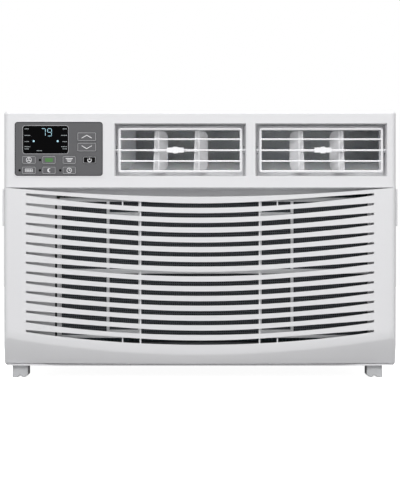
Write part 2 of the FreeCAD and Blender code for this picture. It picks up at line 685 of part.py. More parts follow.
def coil_tube(right_x, left_x, columns, rows, lead_in, lead_out):
    """Straight tubes and U bends of a coil, as one run of pipe."""
    edges = []
    points = lead_in + coil_points(right_x, left_x, columns, rows)
    for i in range(0, len(points) - 1, 2):
        edges.append(Part.LineSegment(points[i], points[i + 1]).toShape())
        if i + 2 < len(points):
            start = points[i + 1]
            end = points[i + 2]
            middle = (start + end) * 0.5
            reach = (end - start).Length / 2
            outward = 1 if start.x > 0 else -1
            edges.append(Part.Arc(start, middle + V(outward * reach, 0, 0), end).toShape())
    circle = Part.Wire(Part.makeCircle(TUBE_R, points[0], X_AXIS))
    tube = Part.Wire(edges).makePipeShell([circle], True, False)
    if lead_out:
        tube = tube.fuse(bent_pipe([points[-1]] + lead_out, TUBE_R, 11))
    return tube


def fin_block(x, y, z, columns, rows):
    block = box(x, y, z)
    holes = [rod(TUBE_R + 0.3, V(x[0] - 1, cy, cz), V(x[1] + 1, cy, cz))
             for cy in columns for cz in rows]
    return block.cut(Part.makeCompound(holes))


def evaporator_fins():
    return fin_block((-232, 284), (-272, -226), (60, 318), EVAPORATOR_COLUMNS, EVAPORATOR_ROWS)


def evaporator_tubes():
    return coil_tube(288, -236, EVAPORATOR_COLUMNS, EVAPORATOR_ROWS, [], [])


def condenser_fins():
    return fin_block((-284, 284), (262, 304), (32, 420), CONDENSER_COLUMNS, CONDENSER_ROWS)


def condenser_tubes():
    lead_out = [V(LIQUID_X, 293, CONDENSER_TOP_Z), V(LIQUID_X, 293, 428), V(LIQUID_X, 200, 428)]
    return coil_tube(288, -288, CONDENSER_COLUMNS, CONDENSER_ROWS, [], lead_out)


def drip_tray():
    tray = box((-240, 300), (-276, -219), (27, 58))
    return tray.cut(box((-238, 298), (-274, -221), (29, 60)))


# ---- blower and fan ----------------------------------------------------------------------

def axis_point(y, dx=0.0, dz=0.0):
    return V(AXIS_X + dx, y, AXIS_Z + dz)


def blower_orifice():
    plate = box((-240, 296), (-216, -213), (30, 330))
    mouth = ring(90, 84, axis_point(-216), axis_point(-207.5))
    return plate.cut(rod(84, axis_point(-220), axis_point(-200))).fuse(mouth)


def blower_scroll():
    """Spiral wall that widens from its tongue, round the wheel and up into the duct."""
    y = -212.7
    tongue = axis_point(y, -112, 20)
    foot = axis_point(y, 0, -125)
    flank = axis_point(y, 140, 0)
    top_right = V(AXIS_X + 140, y, 345)
    top_left = V(AXIS_X - 140, y, 345)
    wire = Part.Wire([
        Part.Arc(tongue, axis_point(y, -84, -82), foot).toShape(),
        Part.Arc(foot, axis_point(y, 94, -94), flank).toShape(),
        Part.LineSegment(flank, top_right).toShape(),
        Part.LineSegment(top_right, top_left).toShape(),
        Part.LineSegment(top_left, tongue).toShape(),
    ])
    depth = SCROLL_DEPTH
    outer = Part.Face(wire.makeOffset2D(3.0)).extrude(V(0, depth, 0))
    inner = Part.Face(wire).extrude(V(0, depth - 3, 0))
    shaft_hole = rod(20, axis_point(-130), axis_point(-100))
    above = box((-300, 300), (-230, -90), (334.7, 400))
    return outer.cut(inner).cut(shaft_hole).cut(above)


def blower_wheel():
    back = rod(WHEEL_R, axis_point(-122), axis_point(-119))
    hub = rod(16, axis_point(-150), axis_point(-119))
    rim = ring(WHEEL_R, 92, axis_point(-204), axis_point(-200))
    pieces = [back, hub, rim]
    for i in range(WHEEL_BLADES):
        blade = box((-0.75, 0.75), (-201, -121), (82, 99))
        blade.rotate(V(0, 0, 90), Y_AXIS, 35)
        blade.rotate(V(0, 0, 0), Y_AXIS, 360.0 * i / WHEEL_BLADES)
        blade.translate(V(AXIS_X, 0, AXIS_Z))
        pieces.append(blade)
    wheel = fuse(pieces).common(rod(WHEEL_R, axis_point(-210), axis_point(-110)))
    return wheel.cut(rod(SHAFT_R + 0.05, axis_point(-210), axis_point(-100)))


def motor_shaft():
    return rod(SHAFT_R, axis_point(-152), axis_point(152))


def condenser_fan():
    hub = rod(34, axis_point(114), axis_point(144))
    slinger = ring(FAN_R, FAN_R - 3, axis_point(116), axis_point(142))
    pieces = [hub, slinger]
    for i in range(FAN_BLADES):
        blade = box((-48, 48), (-1.2, 1.2), (28, FAN_R - 1.5))
        blade.rotate(V(0, 0, 0), Z_AXIS, 24)
        blade = blade.common(box((-60, 60), (-14, 14), (0, 150)))
        blade.translate(V(0, 129, 0))
        blade.rotate(V(0, 0, 0), Y_AXIS, 360.0 * i / FAN_BLADES)
        blade.translate(V(AXIS_X, 0, AXIS_Z))
        pieces.append(blade)
    fan = fuse(pieces).common(rod(FAN_R, axis_point(100), axis_point(160)))
    return fan.cut(rod(SHAFT_R + 0.05, axis_point(100), axis_point(160)))


def fan_motor():
    can = rod(MOTOR_R, axis_point(-52), axis_point(42))
    bells = [rod(38, axis_point(-66), axis_point(-51)), rod(38, axis_point(41), axis_point(56))]
    motor = fuse([can] + bells)
    return motor.cut(rod(SHAFT_R + 0.05, axis_point(-80), axis_point(80)))


def motor_bracket():
    bore = MOTOR_R + 0.3
    band = ring(bore + 3.2, bore, axis_point(-20), axis_point(10))
    legs = [box((AXIS_X + x - 2, AXIS_X + x + 2), (-20, 10), (PAN_Z + PAN_SHEET, AXIS_Z - 44))
            for x in (-46, 46)]
    foot = box((AXIS_X - 70, AXIS_X + 70), (-30, 20),
               (PAN_Z + PAN_SHEET, PAN_Z + PAN_SHEET + 3))
    bracket = fuse([band, foot] + legs)
    return bracket.cut(rod(bore, axis_point(-40), axis_point(40)))


def fan_shroud():
    plate = box((-290, 290), (128, 130.5), (28, 430))
    plate = plate.cut(rod(SHROUD_R, axis_point(120), axis_point(140)))
    pieces = [plate, ring(SHROUD_R + 3, SHROUD_R, axis_point(114), axis_point(148))]
    for side in (-1, 1):
        pieces.append(box(sorted((side * 287.5, side * 290)), (128, 258), (28, 430)))
    pieces.append(box((-290, 290), (128, 258), (427.5, 430)))
    return fuse(pieces)


def air_duct():
    """Foam duct that leads the blower's air forwards to the two outlets."""
    duct = box((-148, 319), (-261.5, -111), (335, 434))
    duct = duct.cut(box((-145, 316), (-262, -114), (338, 431)))
    return duct.cut(box((AXIS_X - 138, AXIS_X + 139), (-209, -114), (330, 340)))


# ---- chassis, compressor and pipes ----------------------------------------------------------

def base_pan():
    half = CABINET_X - SHEET - 0.3
    low = PAN_Z
    pan = box((-half, half), (CABINET_Y[0], 322), (low, low + PAN_LIP))
    inside = half - PAN_SHEET
    pan = pan.cut(box((-inside, inside), (CABINET_Y[0] - 1, 322 - PAN_SHEET),
                      (low + PAN_SHEET, low + PAN_LIP + 1)))
    holes = [rod(2.2, V(x, BEZEL_SCREW_Y, 20), V(x, BEZEL_SCREW_Y, 30)) for x in BEZEL_SCREW_X]
    for y, z in SIDE_SCREWS:
        holes.append(rod(2.2, V(-340, y, z), V(-310, y, z)))
        holes.append(rod(2.2, V(310, y, z), V(340, y, z)))
    for x in (-SILL_HOLE_X, SILL_HOLE_X):
        for y in SILL_HOLE_Y:
            holes.append(rod(2.75, V(x, y, 20), V(x, y, 30)))
    spout = rod(DRAIN_R + 2, V(DRAIN[0], DRAIN[1], low - 8), V(DRAIN[0], DRAIN[1], low + 0.5))
    holes.append(rod(DRAIN_R, V(DRAIN[0], DRAIN[1], low - 9), V(DRAIN[0], DRAIN[1], low + 5)))
    return pan.fuse(spout).cut(Part.makeCompound(holes)).removeSplitter()


def outer_cabinet():
    inside = CABINET_X - SHEET
    shell = box((-CABINET_X, CABINET_X), CABINET_Y, (PAN_Z, CABINET_Z))
    crown = [e for e in shell.Edges if abs(e.CenterOfMass.z - CABINET_Z) < 0.1
             and abs(e.tangentAt(e.FirstParameter).y) > 0.99]
    shell = shell.makeFillet(4, crown)
    hollow = box((-inside, inside), (CABINET_Y[0] - 1, CABINET_Y[1] + 1),
                 (PAN_Z - 1, CABINET_Z - SHEET))
    crown = [e for e in hollow.Edges if abs(e.CenterOfMass.z - CABINET_Z + SHEET) < 0.1
             and abs(e.tangentAt(e.FirstParameter).y) > 0.99]
    shell = shell.cut(hollow.makeFillet(4 - SHEET, crown))
    cutters = []
    for y in SIDE_VENTS_Y:
        for i in range(SIDE_VENT_ROWS):
            z = 110 + 20 * i
            cutters.append(box((-340, 340), (y - 34, y + 34), (z, z + VENT_HEIGHT)))
    for x in TOP_VENTS_X:
        for i in range(TOP_VENT_ROWS):
            y = 120 + 18 * i
            cutters.append(box((x - 52, x + 52), (y, y + VENT_HEIGHT), (430, 450)))
    for y, z in SIDE_SCREWS:
        cutters.append(rod(2.2, V(-340, y, z), V(340, y, z)))
    for x in (-RAIL_HOLE_X, RAIL_HOLE_X):
        cutters.append(rod(2.1, V(x, RAIL_HOLE_Y, 430), V(x, RAIL_HOLE_Y, 450)))
    cutters.append(rod(7.3, V(-340, GLAND_Y, GLAND_Z), V(-310, GLAND_Y, GLAND_Z)))
    return shell.cut(Part.makeCompound(cutters))


def cord_gland():
    body = rod(7, V(-CABINET_X - 1, GLAND_Y, GLAND_Z), V(-321, GLAND_Y, GLAND_Z))
    flange = rod(11, V(-329.8, GLAND_Y, GLAND_Z), V(-CABINET_X, GLAND_Y, GLAND_Z))
    bore = rod(4.5, V(-335, GLAND_Y, GLAND_Z), V(-315, GLAND_Y, GLAND_Z))
    return body.fuse(flange).cut(bore)


def cabinet_screws():
    screws = []
    for y, z in SIDE_SCREWS:
        for side in (-1, 1):
            head = rod(4.2, V(side * CABINET_X, y, z), V(side * (CABINET_X + 2.2), y, z))
            shank = rod(1.8, V(side * (CABINET_X + 1), y, z), V(side * 316, y, z))
            screws.append(head.fuse(shank))
    return Part.makeCompound(screws)


def rear_guard():
    y = (BACK_Y - 8, BACK_Y)
    frame = box((-322, 322), y, (30, 442)).cut(box((-310, 310), (320, 340), (42, 430)))
    bars = [frame]
    for i in range(GUARD_BARS):
        z = 56 + GUARD_PITCH * i
        bars.append(box((-311, 311), (BACK_Y - 3, BACK_Y - 0.5), (z - 1.25, z + 1.25)))
    for x in (-186, -62, 62, 186):
        bars.append(box((x - 2.5, x + 2.5), (BACK_Y - 6, BACK_Y - 2.5), (41, 431)))
    return fuse(bars)


def bulkhead():
    plate = box((-322, 322), (BULKHEAD_Y, BULKHEAD_Y + 1.5), (26, 441))
    plate = plate.cut(rod(20, axis_point(-120), axis_point(-90)))
    return plate.cut(box((298, 320), (-120, -90), (266, 313)))


def compressor_feet():
    places = []
    for angle in (45, 165, 285):
        turn = math.radians(angle)
        places.append(COMPRESSOR + V(100 * math.cos(turn), 100 * math.sin(turn), 0))
    return places


def compressor_shell():
    """Welded can with domed ends on a three-armed foot plate."""
    profile = Part.Wire([
        Part.LineSegment(V(0, 0, 60), V(50, 0, 60)).toShape(),
        Part.Arc(V(50, 0, 60), V(67, 0, 67), V(74, 0, 84)).toShape(),
        Part.LineSegment(V(74, 0, 84), V(74, 0, 240)).toShape(),
        Part.Arc(V(74, 0, 240), V(63, 0, 260), V(32, 0, 270)).toShape(),
        Part.LineSegment(V(32, 0, 270), V(0, 0, 270)).toShape(),
        Part.LineSegment(V(0, 0, 270), V(0, 0, 60)).toShape(),
    ])
    can = Part.Face(profile).revolve(V(0, 0, 0), Z_AXIS, 360)
    can.translate(COMPRESSOR)
    pieces = [can]
    for place in compressor_feet():
        middle = COMPRESSOR + V(0, 0, 57)
        reach = place - COMPRESSOR
        arm = Part.makeBox(reach.Length, 30, 3, V(0, -15, 0))
        arm.rotate(V(0, 0, 0), Z_AXIS, math.degrees(math.atan2(reach.y, reach.x)))
        arm.translate(middle)
        pieces += [arm, rod(15, place + V(0, 0, 57), place + V(0, 0, 60))]
    pieces.append(rod(50, COMPRESSOR + V(0, 0, 57), COMPRESSOR + V(0, 0, 60.5)))
    shell = fuse(pieces)
    for place in compressor_feet():
        shell = shell.cut(rod(6, place + V(0, 0, 50), place + V(0, 0, 65)))
    return shell


def compressor_grommets():
    low = PAN_Z + PAN_SHEET
    return Part.makeCompound([ring(13, 4.5, p + V(0, 0, low), p + V(0, 0, 57))
                              for p in compressor_feet()])


def compressor_bolts():
    bolts = []
    for place in compressor_feet():
        shank = rod(4, place + V(0, 0, PAN_Z + PAN_SHEET), place + V(0, 0, 68))
        bolts.append(shank.fuse(rod(9, place + V(0, 0, 60), place + V(0, 0, 66))))
    return Part.makeCompound(bolts)


def accumulator():
    x, y = ACCUMULATOR
    can = rod(22, V(x, y, 80), V(x, y, 220))
    can = can.makeFillet(9, can.Edges[0:1] + can.Edges[2:3])
    return can.fuse(rod(7, V(x, y, 219), V(x, y, 232)))


def terminal_cover():
    return box((292.8, 314), (-5, 25), (180, 232))


def discharge_line():
    return bent_pipe([V(240, 10, 270), V(240, 10, CONDENSER_TOP_Z), V(306, 10, CONDENSER_TOP_Z),
                      V(306, 273, CONDENSER_TOP_Z), V(288, 273, CONDENSER_TOP_Z)], TUBE_R, 12)


def suction_line():
    x, y = ACCUMULATOR
    return bent_pipe([V(x, y, 232), V(x, y, COIL_TOP_Z), V(x, -50, COIL_TOP_Z),
                      V(306, -50, COIL_TOP_Z), V(306, -237, COIL_TOP_Z),
                      V(288, -237, COIL_TOP_Z)], TUBE_R, 12)


def filter_drier():
    can = rod(9.5, V(LIQUID_X, 198, 428), V(LIQUID_X, 112, 428))
    neck = rod(4.8, V(LIQUID_X, 200, 428), V(LIQUID_X, 110, 428))
    return can.fuse(neck)


def capillary_tube():
    return bent_pipe([
        V(LIQUID_X, 110, 428),
        V(LIQUID_X, -75, 428),
        V(LIQUID_X, -75, 275),
        V(LIQUID_X, -261, 275),
        V(LIQUID_X, -261, COIL_TOP_Z),
        V(288, -261, COIL_TOP_Z),
    ], 1.6, 9)


def control_box():
    """Sheet-metal box for the electrics, open towards the cabinet's side."""
    shell = box((-320, -262), (-272, -150), (66, 325))
    return shell.cut(box((-321, -262 - SHEET), (-272 + SHEET, -150 - SHEET),
                         (66 + SHEET, 325 - SHEET)))


def main_board():
    board = box((-270, -268.4), (-262, -160), (160, 312))
    parts = [board, box((-292, -269), (-250, -222), (180, 205)),
             box((-296, -269), (-215, -180), (250, 290)),
             box((-284, -269), (-255, -235), (240, 262)),
             box((-288, -269), (-200, -170), (175, 196))]
    return fuse(parts)


def run_capacitor():
    can = rod(22, V(-288, -200, 67.5), V(-288, -200, 148))
    posts = [rod(3, V(-296, -200, 147), V(-296, -200, 155)),
             rod(3, V(-280, -200, 147), V(-280, -200, 155))]
    return fuse([can] + posts)


def main():
    os.makedirs("parts", exist_ok=True)
    plain = [front_bezel, bezel_screws, front_feet, rear_feet, intake_grille, control_overlay,
             display_lens, control_board, filter_frame, filter_mesh, thermistor,
             evaporator_fins, evaporator_tubes, condenser_fins, condenser_tubes, drip_tray,
             blower_orifice, blower_scroll, blower_wheel, motor_shaft, condenser_fan, fan_motor,
             motor_bracket, fan_shroud, air_duct, base_pan, outer_cabinet, cord_gland,
             cabinet_screws, rear_guard, bulkhead, compressor_shell, compressor_grommets,
             compressor_bolts, accumulator, terminal_cover, discharge_line, suction_line,
             filter_drier, capillary_tube, control_box, main_board, run_capacitor]
    for make in plain:
        save(make.__name__, make())
    for name in KEYS:
        save(name, button(name))
    for side in OUTLETS:
        save(side + "_louver_frame", louver_frame(side))
        save(side + "_vane_link", vane_link(side))
        for number, offset in enumerate(POST_OFFSETS, 1):
            save(side + "_vane_" + str(number), vane(side, offset))


main()
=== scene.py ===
"""Looks of a window air conditioner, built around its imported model.

Sizes are in millimetres where a name says so, and in metres elsewhere.
+X is to the right as seen from the room, -Y is the front, +Z is up.
"""

import json
import math

import bmesh
import bpy
from bpy.props import FloatProperty, FloatVectorProperty, IntProperty, PointerProperty
from mathutils import Matrix, Vector


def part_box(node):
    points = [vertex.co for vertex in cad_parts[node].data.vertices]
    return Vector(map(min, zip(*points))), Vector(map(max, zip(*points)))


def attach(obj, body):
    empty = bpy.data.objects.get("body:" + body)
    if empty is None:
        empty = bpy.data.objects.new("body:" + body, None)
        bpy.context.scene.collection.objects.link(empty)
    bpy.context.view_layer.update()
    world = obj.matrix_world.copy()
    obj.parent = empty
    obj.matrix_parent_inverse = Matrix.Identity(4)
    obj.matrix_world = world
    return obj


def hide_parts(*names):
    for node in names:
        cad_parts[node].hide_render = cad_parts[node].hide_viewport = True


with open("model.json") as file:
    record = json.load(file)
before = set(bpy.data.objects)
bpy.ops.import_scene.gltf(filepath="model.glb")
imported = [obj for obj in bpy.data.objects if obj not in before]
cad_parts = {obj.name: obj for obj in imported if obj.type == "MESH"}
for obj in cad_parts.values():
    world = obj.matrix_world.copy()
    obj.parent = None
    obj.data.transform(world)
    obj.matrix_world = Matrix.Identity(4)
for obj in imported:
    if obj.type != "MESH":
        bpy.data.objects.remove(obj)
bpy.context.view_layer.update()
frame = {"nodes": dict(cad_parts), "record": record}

bl_info = {
    "name": "Window air conditioner",
    "version": (1, 0, 0),
    "blender": (4, 5, 0),
    "location": "3D View > Sidebar > Air conditioner",
    "description": "Builds the pieces and finishes of a window air conditioner",
    "category": "Object",
}

MM = 0.001
FULL_TURN = 2 * math.pi
PRINT = 0.12           # thickness of a print, in millimetres
PRINT_OVER = 0.16      # of a stroke that crosses another
NEARLY = 1e-6          # metres, to tell corners of a block apart


# ---- settings ------------------------------------------------------------------------

def linear(code):
    """Linear RGBA of an sRGB hex colour."""
    channels = [int(code[i:i + 2], 16) / 255 for i in (0, 2, 4)]
    return [c / 12.92 if c <= 0.04045 else ((c + 0.055) / 1.055) ** 2.4 for c in channels] + [1.0]


def colour_setting(label, code, description):
    return FloatVectorProperty(name=label, description=description, default=linear(code),
                               size=4, min=0, max=1, subtype="COLOR")


def length_setting(label, millimetres, description):
    return FloatProperty(name=label, description=description, default=millimetres * MM,
                         unit="LENGTH", subtype="DISTANCE", precision=5)


class GrilleSizes(bpy.types.PropertyGroup):
    """Sizes of the intake grille."""
    slots: IntProperty(name="Slots", description="Number of intake slots", default=15, min=1)
    pitch: length_setting("Pitch", 16.42, "Height from one slot to the next")
    top: length_setting("Top slot", 293.4, "Height of the top slot's upper edge at its middle")
    opening: length_setting("Opening", 7.5, "Height of a slot at its middle")
    half_slot: length_setting("Half slot", 292.5, "Half of a slot's length")
    arch: length_setting("Arch", 118.0, "Half width of the arched part of an upper edge")
    upper_radius: length_setting("Upper radius", 1593.0, "Radius of the slots' upper edges")
    lower_radius: length_setting("Lower radius", 2032.0, "Radius of the slots' lower edges")
    wall: length_setting("Wall", 2.8, "Thickness of the moulded wall")
    edge: length_setting("Edge radius", 1.1, "Rounding of the slots' edges")


class FinishColours(bpy.types.PropertyGroup):
    """Colours of the finishes that show most."""
    white: colour_setting("White", "DCDCDE", "Moulded white front, grille and louvers")
    # The vanes' white is lighter than the front's: painted light against the duct's shade.
    vane: colour_setting("Vanes", "F0F0F2", "Moulded white vanes")
    panel: colour_setting("Key panel", "5D5D5F", "Printed grey film of the key panel")
    outline: colour_setting("Outlines", "A9A9AC", "Printed outlines of the keys")
    ink: colour_setting("Ink", "E4E4E6", "Printed signs on the keys")
    energy: colour_setting("Energy key", "477A3E", "Green patch of the energy key")
    glow: colour_setting("Display", "A9D4E2", "Lit digits and dots")
    feet: colour_setting("Feet", "C4C5C7", "Moulded grey feet")
    cabinet: colour_setting("Cabinet", "D0D0CC", "Powder-coated cabinet")
    net: colour_setting("Net", "363B40", "Woven net of the air filter")


class StageSizes(bpy.types.PropertyGroup):
    """Place of the camera."""
    distance: length_setting("Distance", 4300.0, "Camera to the face of the unit")
    height: length_setting("Height", 224.4, "Camera above the floor")
    span: length_setting("Span", 823.3, "Height that the picture takes in at the face")
    room_light: FloatProperty(name="Room light", default=0.52, min=0,
                              description="Brightness of the light from all round")


# ---- finishes --------------------------------------------------------------------------

def add_node(tree, kind, inputs=None, **settings):
    """Adds a shader node with its settings; an input is a value or another node's output."""
    node = tree.nodes.new(kind)
    for name, value in settings.items():
        setattr(node, name, value)
    for name, value in (inputs or {}).items():
        socket = node.inputs[name]
        if isinstance(value, bpy.types.NodeSocket):
            tree.links.new(value, socket)
        else:
            socket.default_value = value
    return node


def per_size(millimetres):
    """Texture scale whose cell is about that size."""
    return 1 / (millimetres * MM)


def band_scale(millimetres):
    """Wave scale whose bands are that far apart."""
    return FULL_TURN / (20 * millimetres * MM)


def start_material(name, **sockets):
    """A new material, its node tree, its shader and its object coordinates."""
    material = bpy.data.materials.new(name)
    material.use_nodes = True
    tree = material.node_tree
    shader = tree.nodes["Principled BSDF"]
    for label, value in sockets.items():
        shader.inputs[label.replace("_", " ")].default_value = value
    place = add_node(tree, "ShaderNodeTexCoord").outputs["Object"]
    return material, tree, shader, place


def scaled(colour, factor):
    return [min(1.0, c * factor) for c in colour[:3]] + [1.0]


def finish_surface(tree, shader, shade, roughness, height, depth):
    """Links a surface's colour, its roughness and its bump to the shader.

    A shade is a pattern with a dark and a light colour, a roughness is a pattern with a low
    and a high value, and the depth of the bump is in millimetres.
    """
    mix = add_node(tree, "ShaderNodeMix", {"Factor": shade[0], 6: shade[1], 7: shade[2]},
                   data_type="RGBA")
    gloss = add_node(tree, "ShaderNodeMapRange", {"Value": roughness[0], "To Min": roughness[1],
                                                  "To Max": roughness[2]})
    bump = add_node(tree, "ShaderNodeBump", {"Height": height, "Strength": 1.0,
                                             "Distance": depth * MM})
    tree.links.new(mix.outputs[2], shader.inputs["Base Color"])
    tree.links.new(gloss.outputs["Result"], shader.inputs["Roughness"])
    tree.links.new(bump.outputs["Normal"], shader.inputs["Normal"])


def moulded(name, colour, roughness, grain, depth, spread=0.03, gloss=0.5):
    """Injection-moulded plastic: an even colour that drifts a little, over a fine spark grain."""
    material, tree, shader, place = start_material(name, IOR=1.52, Specular_IOR_Level=gloss)
    drift = add_node(tree, "ShaderNodeTexNoise", {"Vector": place, "Scale": per_size(90),
                                                  "Detail": 2.0}).outputs["Fac"]
    spark = add_node(tree, "ShaderNodeTexNoise", {"Vector": place, "Scale": per_size(grain),
                                                  "Detail": 3.0}).outputs["Fac"]
    finish_surface(tree, shader, (drift, scaled(colour, 1 - spread), scaled(colour, 1 + spread)),
                   (spark, roughness - 0.05, roughness + 0.05), spark, depth)
    return material


def powder_coat(name, colour):
    """Powder-coated sheet: the coat flows into a soft orange peel before it sets."""
    material, tree, shader, place = start_material(name, IOR=1.5, Coat_Weight=0.15)
    peel = add_node(tree, "ShaderNodeTexVoronoi", {"Vector": place, "Scale": per_size(2.6)},
                    feature="SMOOTH_F1").outputs["Distance"]
    dust = add_node(tree, "ShaderNodeTexNoise", {"Vector": place, "Scale": per_size(120),
                                                 "Detail": 5.0}).outputs["Fac"]
    finish_surface(tree, shader, (dust, scaled(colour, 0.94), colour), (dust, 0.38, 0.52),
                   peel, 0.05)
    return material


def zinc_sheet(name):
    """Hot-dipped galvanised steel: zinc crystals a few millimetres across, each its own grey."""
    material, tree, shader, place = start_material(name, Metallic=1.0)
    spangle = add_node(tree, "ShaderNodeTexVoronoi", {"Vector": place, "Scale": per_size(9)})
    tone = add_node(tree, "ShaderNodeSeparateColor", {"Color": spangle.outputs["Color"]})
    finish_surface(tree, shader, (tone.outputs["Red"], linear("8E9396"), linear("B9BDBF")),
                   (tone.outputs["Green"], 0.32, 0.5), spangle.outputs["Distance"], 0.02)
    return material


def fins_with_painted_light(name, light, dark, metallic):
    """Stacked aluminium fins, 1.6 mm apart, drawn 2.4 mm apart so that they show; painted glint on
    their edges, painted shade in the gaps.
    """
    material, tree, shader, place = start_material(name, Metallic=metallic)
    fins = add_node(tree, "ShaderNodeTexWave", {"Vector": place, "Scale": band_scale(2.4),
                                                "Distortion": 0.6, "Detail": 1.0,
                                                "Detail Scale": 0.4},
                    bands_direction="X").outputs["Fac"]
    # Mask of the painted glint on the fin edges; below it lies the painted shade of the gaps.
    edge = add_node(tree, "ShaderNodeMapRange", {"Value": fins, "From Min": 0.35,
                                                 "From Max": 0.8}).outputs["Result"]
    finish_surface(tree, shader, (edge, linear(dark), linear(light)), (fins, 0.5, 0.35),
                   fins, 0.8)
    return material


def woven_net(name, colour):
    """Nylon net: crossed threads, lighter as a painted highlight, with holes painted near black as
    the shade behind them.
    """
    material, tree, shader, place = start_material(name)
    across = add_node(tree, "ShaderNodeTexWave", {"Vector": place, "Scale": band_scale(3.2)},
                      bands_direction="X").outputs["Fac"]
    upward = add_node(tree, "ShaderNodeTexWave", {"Vector": place, "Scale": band_scale(3.2)},
                      bands_direction="Z").outputs["Fac"]
    threads = add_node(tree, "ShaderNodeMath", {0: across, 1: upward},
                       operation="MAXIMUM").outputs["Value"]
    sharp = add_node(tree, "ShaderNodeMapRange", {"Value": threads, "From Min": 0.55,
                                                  "From Max": 0.95}).outputs["Result"]
    # Holes near black are painted shade; threads lighter than the net's colour are a painted
    # highlight.
    finish_surface(tree, shader, (sharp, scaled(colour, 0.12), scaled(colour, 1.5)),
                   (sharp, 0.8, 0.6), threads, 0.3)
    return material


def drawn_tube(name, bright, dull, metallic, roughness):
    """Drawn metal: faint length marks under patches of tarnish."""
    material, tree, shader, place = start_material(name, Metallic=metallic)
    tarnish = add_node(tree, "ShaderNodeTexNoise", {"Vector": place, "Scale": per_size(30),
                                                    "Detail": 6.0}).outputs["Fac"]
    marks = add_node(tree, "ShaderNodeTexNoise", {"Vector": place, "Scale": per_size(1.5),
                                                  "Detail": 2.0}).outputs["Fac"]
    finish_surface(tree, shader, (tarnish, linear(dull), linear(bright)),
                   (tarnish, roughness + 0.12, roughness), marks, 0.02)
    return material


def bead_foam(name, colour):
    """Expanded polystyrene: pressed beads 3 mm across with dark joints."""
    material, tree, shader, place = start_material(name, Subsurface_Weight=0.1)
    beads = add_node(tree, "ShaderNodeTexVoronoi", {"Vector": place, "Scale": per_size(3.2)},
                     feature="DISTANCE_TO_EDGE").outputs["Distance"]
    joint = add_node(tree, "ShaderNodeMapRange", {"Value": beads, "From Min": 0.0,
                                                  "From Max": 0.12}).outputs["Result"]
    finish_surface(tree, shader, (joint, scaled(colour, 0.86), colour), (joint, 0.9, 0.7),
                   joint, 0.25)
    return material


def circuit_board(name):
    """Solder mask over copper tracks, which stand up a little and look paler."""
    material, tree, shader, place = start_material(name, Coat_Weight=0.3)
    tracks = add_node(tree, "ShaderNodeTexVoronoi", {"Vector": place, "Scale": per_size(7)},
                      feature="DISTANCE_TO_EDGE", distance="MANHATTAN").outputs["Distance"]
    raised = add_node(tree, "ShaderNodeMapRange", {"Value": tracks, "From Min": 0.1,
                                                   "From Max": 0.16}).outputs["Result"]
    finish_surface(tree, shader, (raised, linear("3C8A4E"), linear("14512A")),
                   (raised, 0.35, 0.45), tracks, 0.05)
    return material


def lit_segment(name, colour):
    """Light-emitting segment behind a smoked window: the light is a little uneven along it."""
    material, tree, shader, place = start_material(name, Roughness=0.4, Emission_Strength=1.0)
    glow = add_node(tree, "ShaderNodeTexNoise", {"Vector": place, "Scale": per_size(3)})
    light = add_node(tree, "ShaderNodeMix", {"Factor": glow.outputs["Fac"], 6: scaled(colour, 0.8),
                                             7: colour}, data_type="RGBA")
    tree.links.new(light.outputs[2], shader.inputs["Emission Color"])
    shader.inputs["Base Color"].default_value = scaled(colour, 0.3)
    return material


def studio_floor():
    """Pale matt floor. It throws less light up at the unit than it shows, as a black flag does."""
    material, tree, shader, place = start_material("Pale studio floor", Roughness=0.9)
    ray = add_node(tree, "ShaderNodeLightPath").outputs["Is Camera Ray"]
    tone = add_node(tree, "ShaderNodeMix", {"Factor": ray, 6: linear("AEAEAE"),
                                            7: linear("F6F6F6")}, data_type="RGBA")
    lift = add_node(tree, "ShaderNodeMath", {0: ray, 1: 0.95}, operation="MULTIPLY")
    tree.links.new(tone.outputs[2], shader.inputs["Base Color"])
    tree.links.new(lift.outputs["Value"], shader.inputs["Emission Strength"])
    shader.inputs["Emission Color"].default_value = (1, 1, 1, 1)
    return material


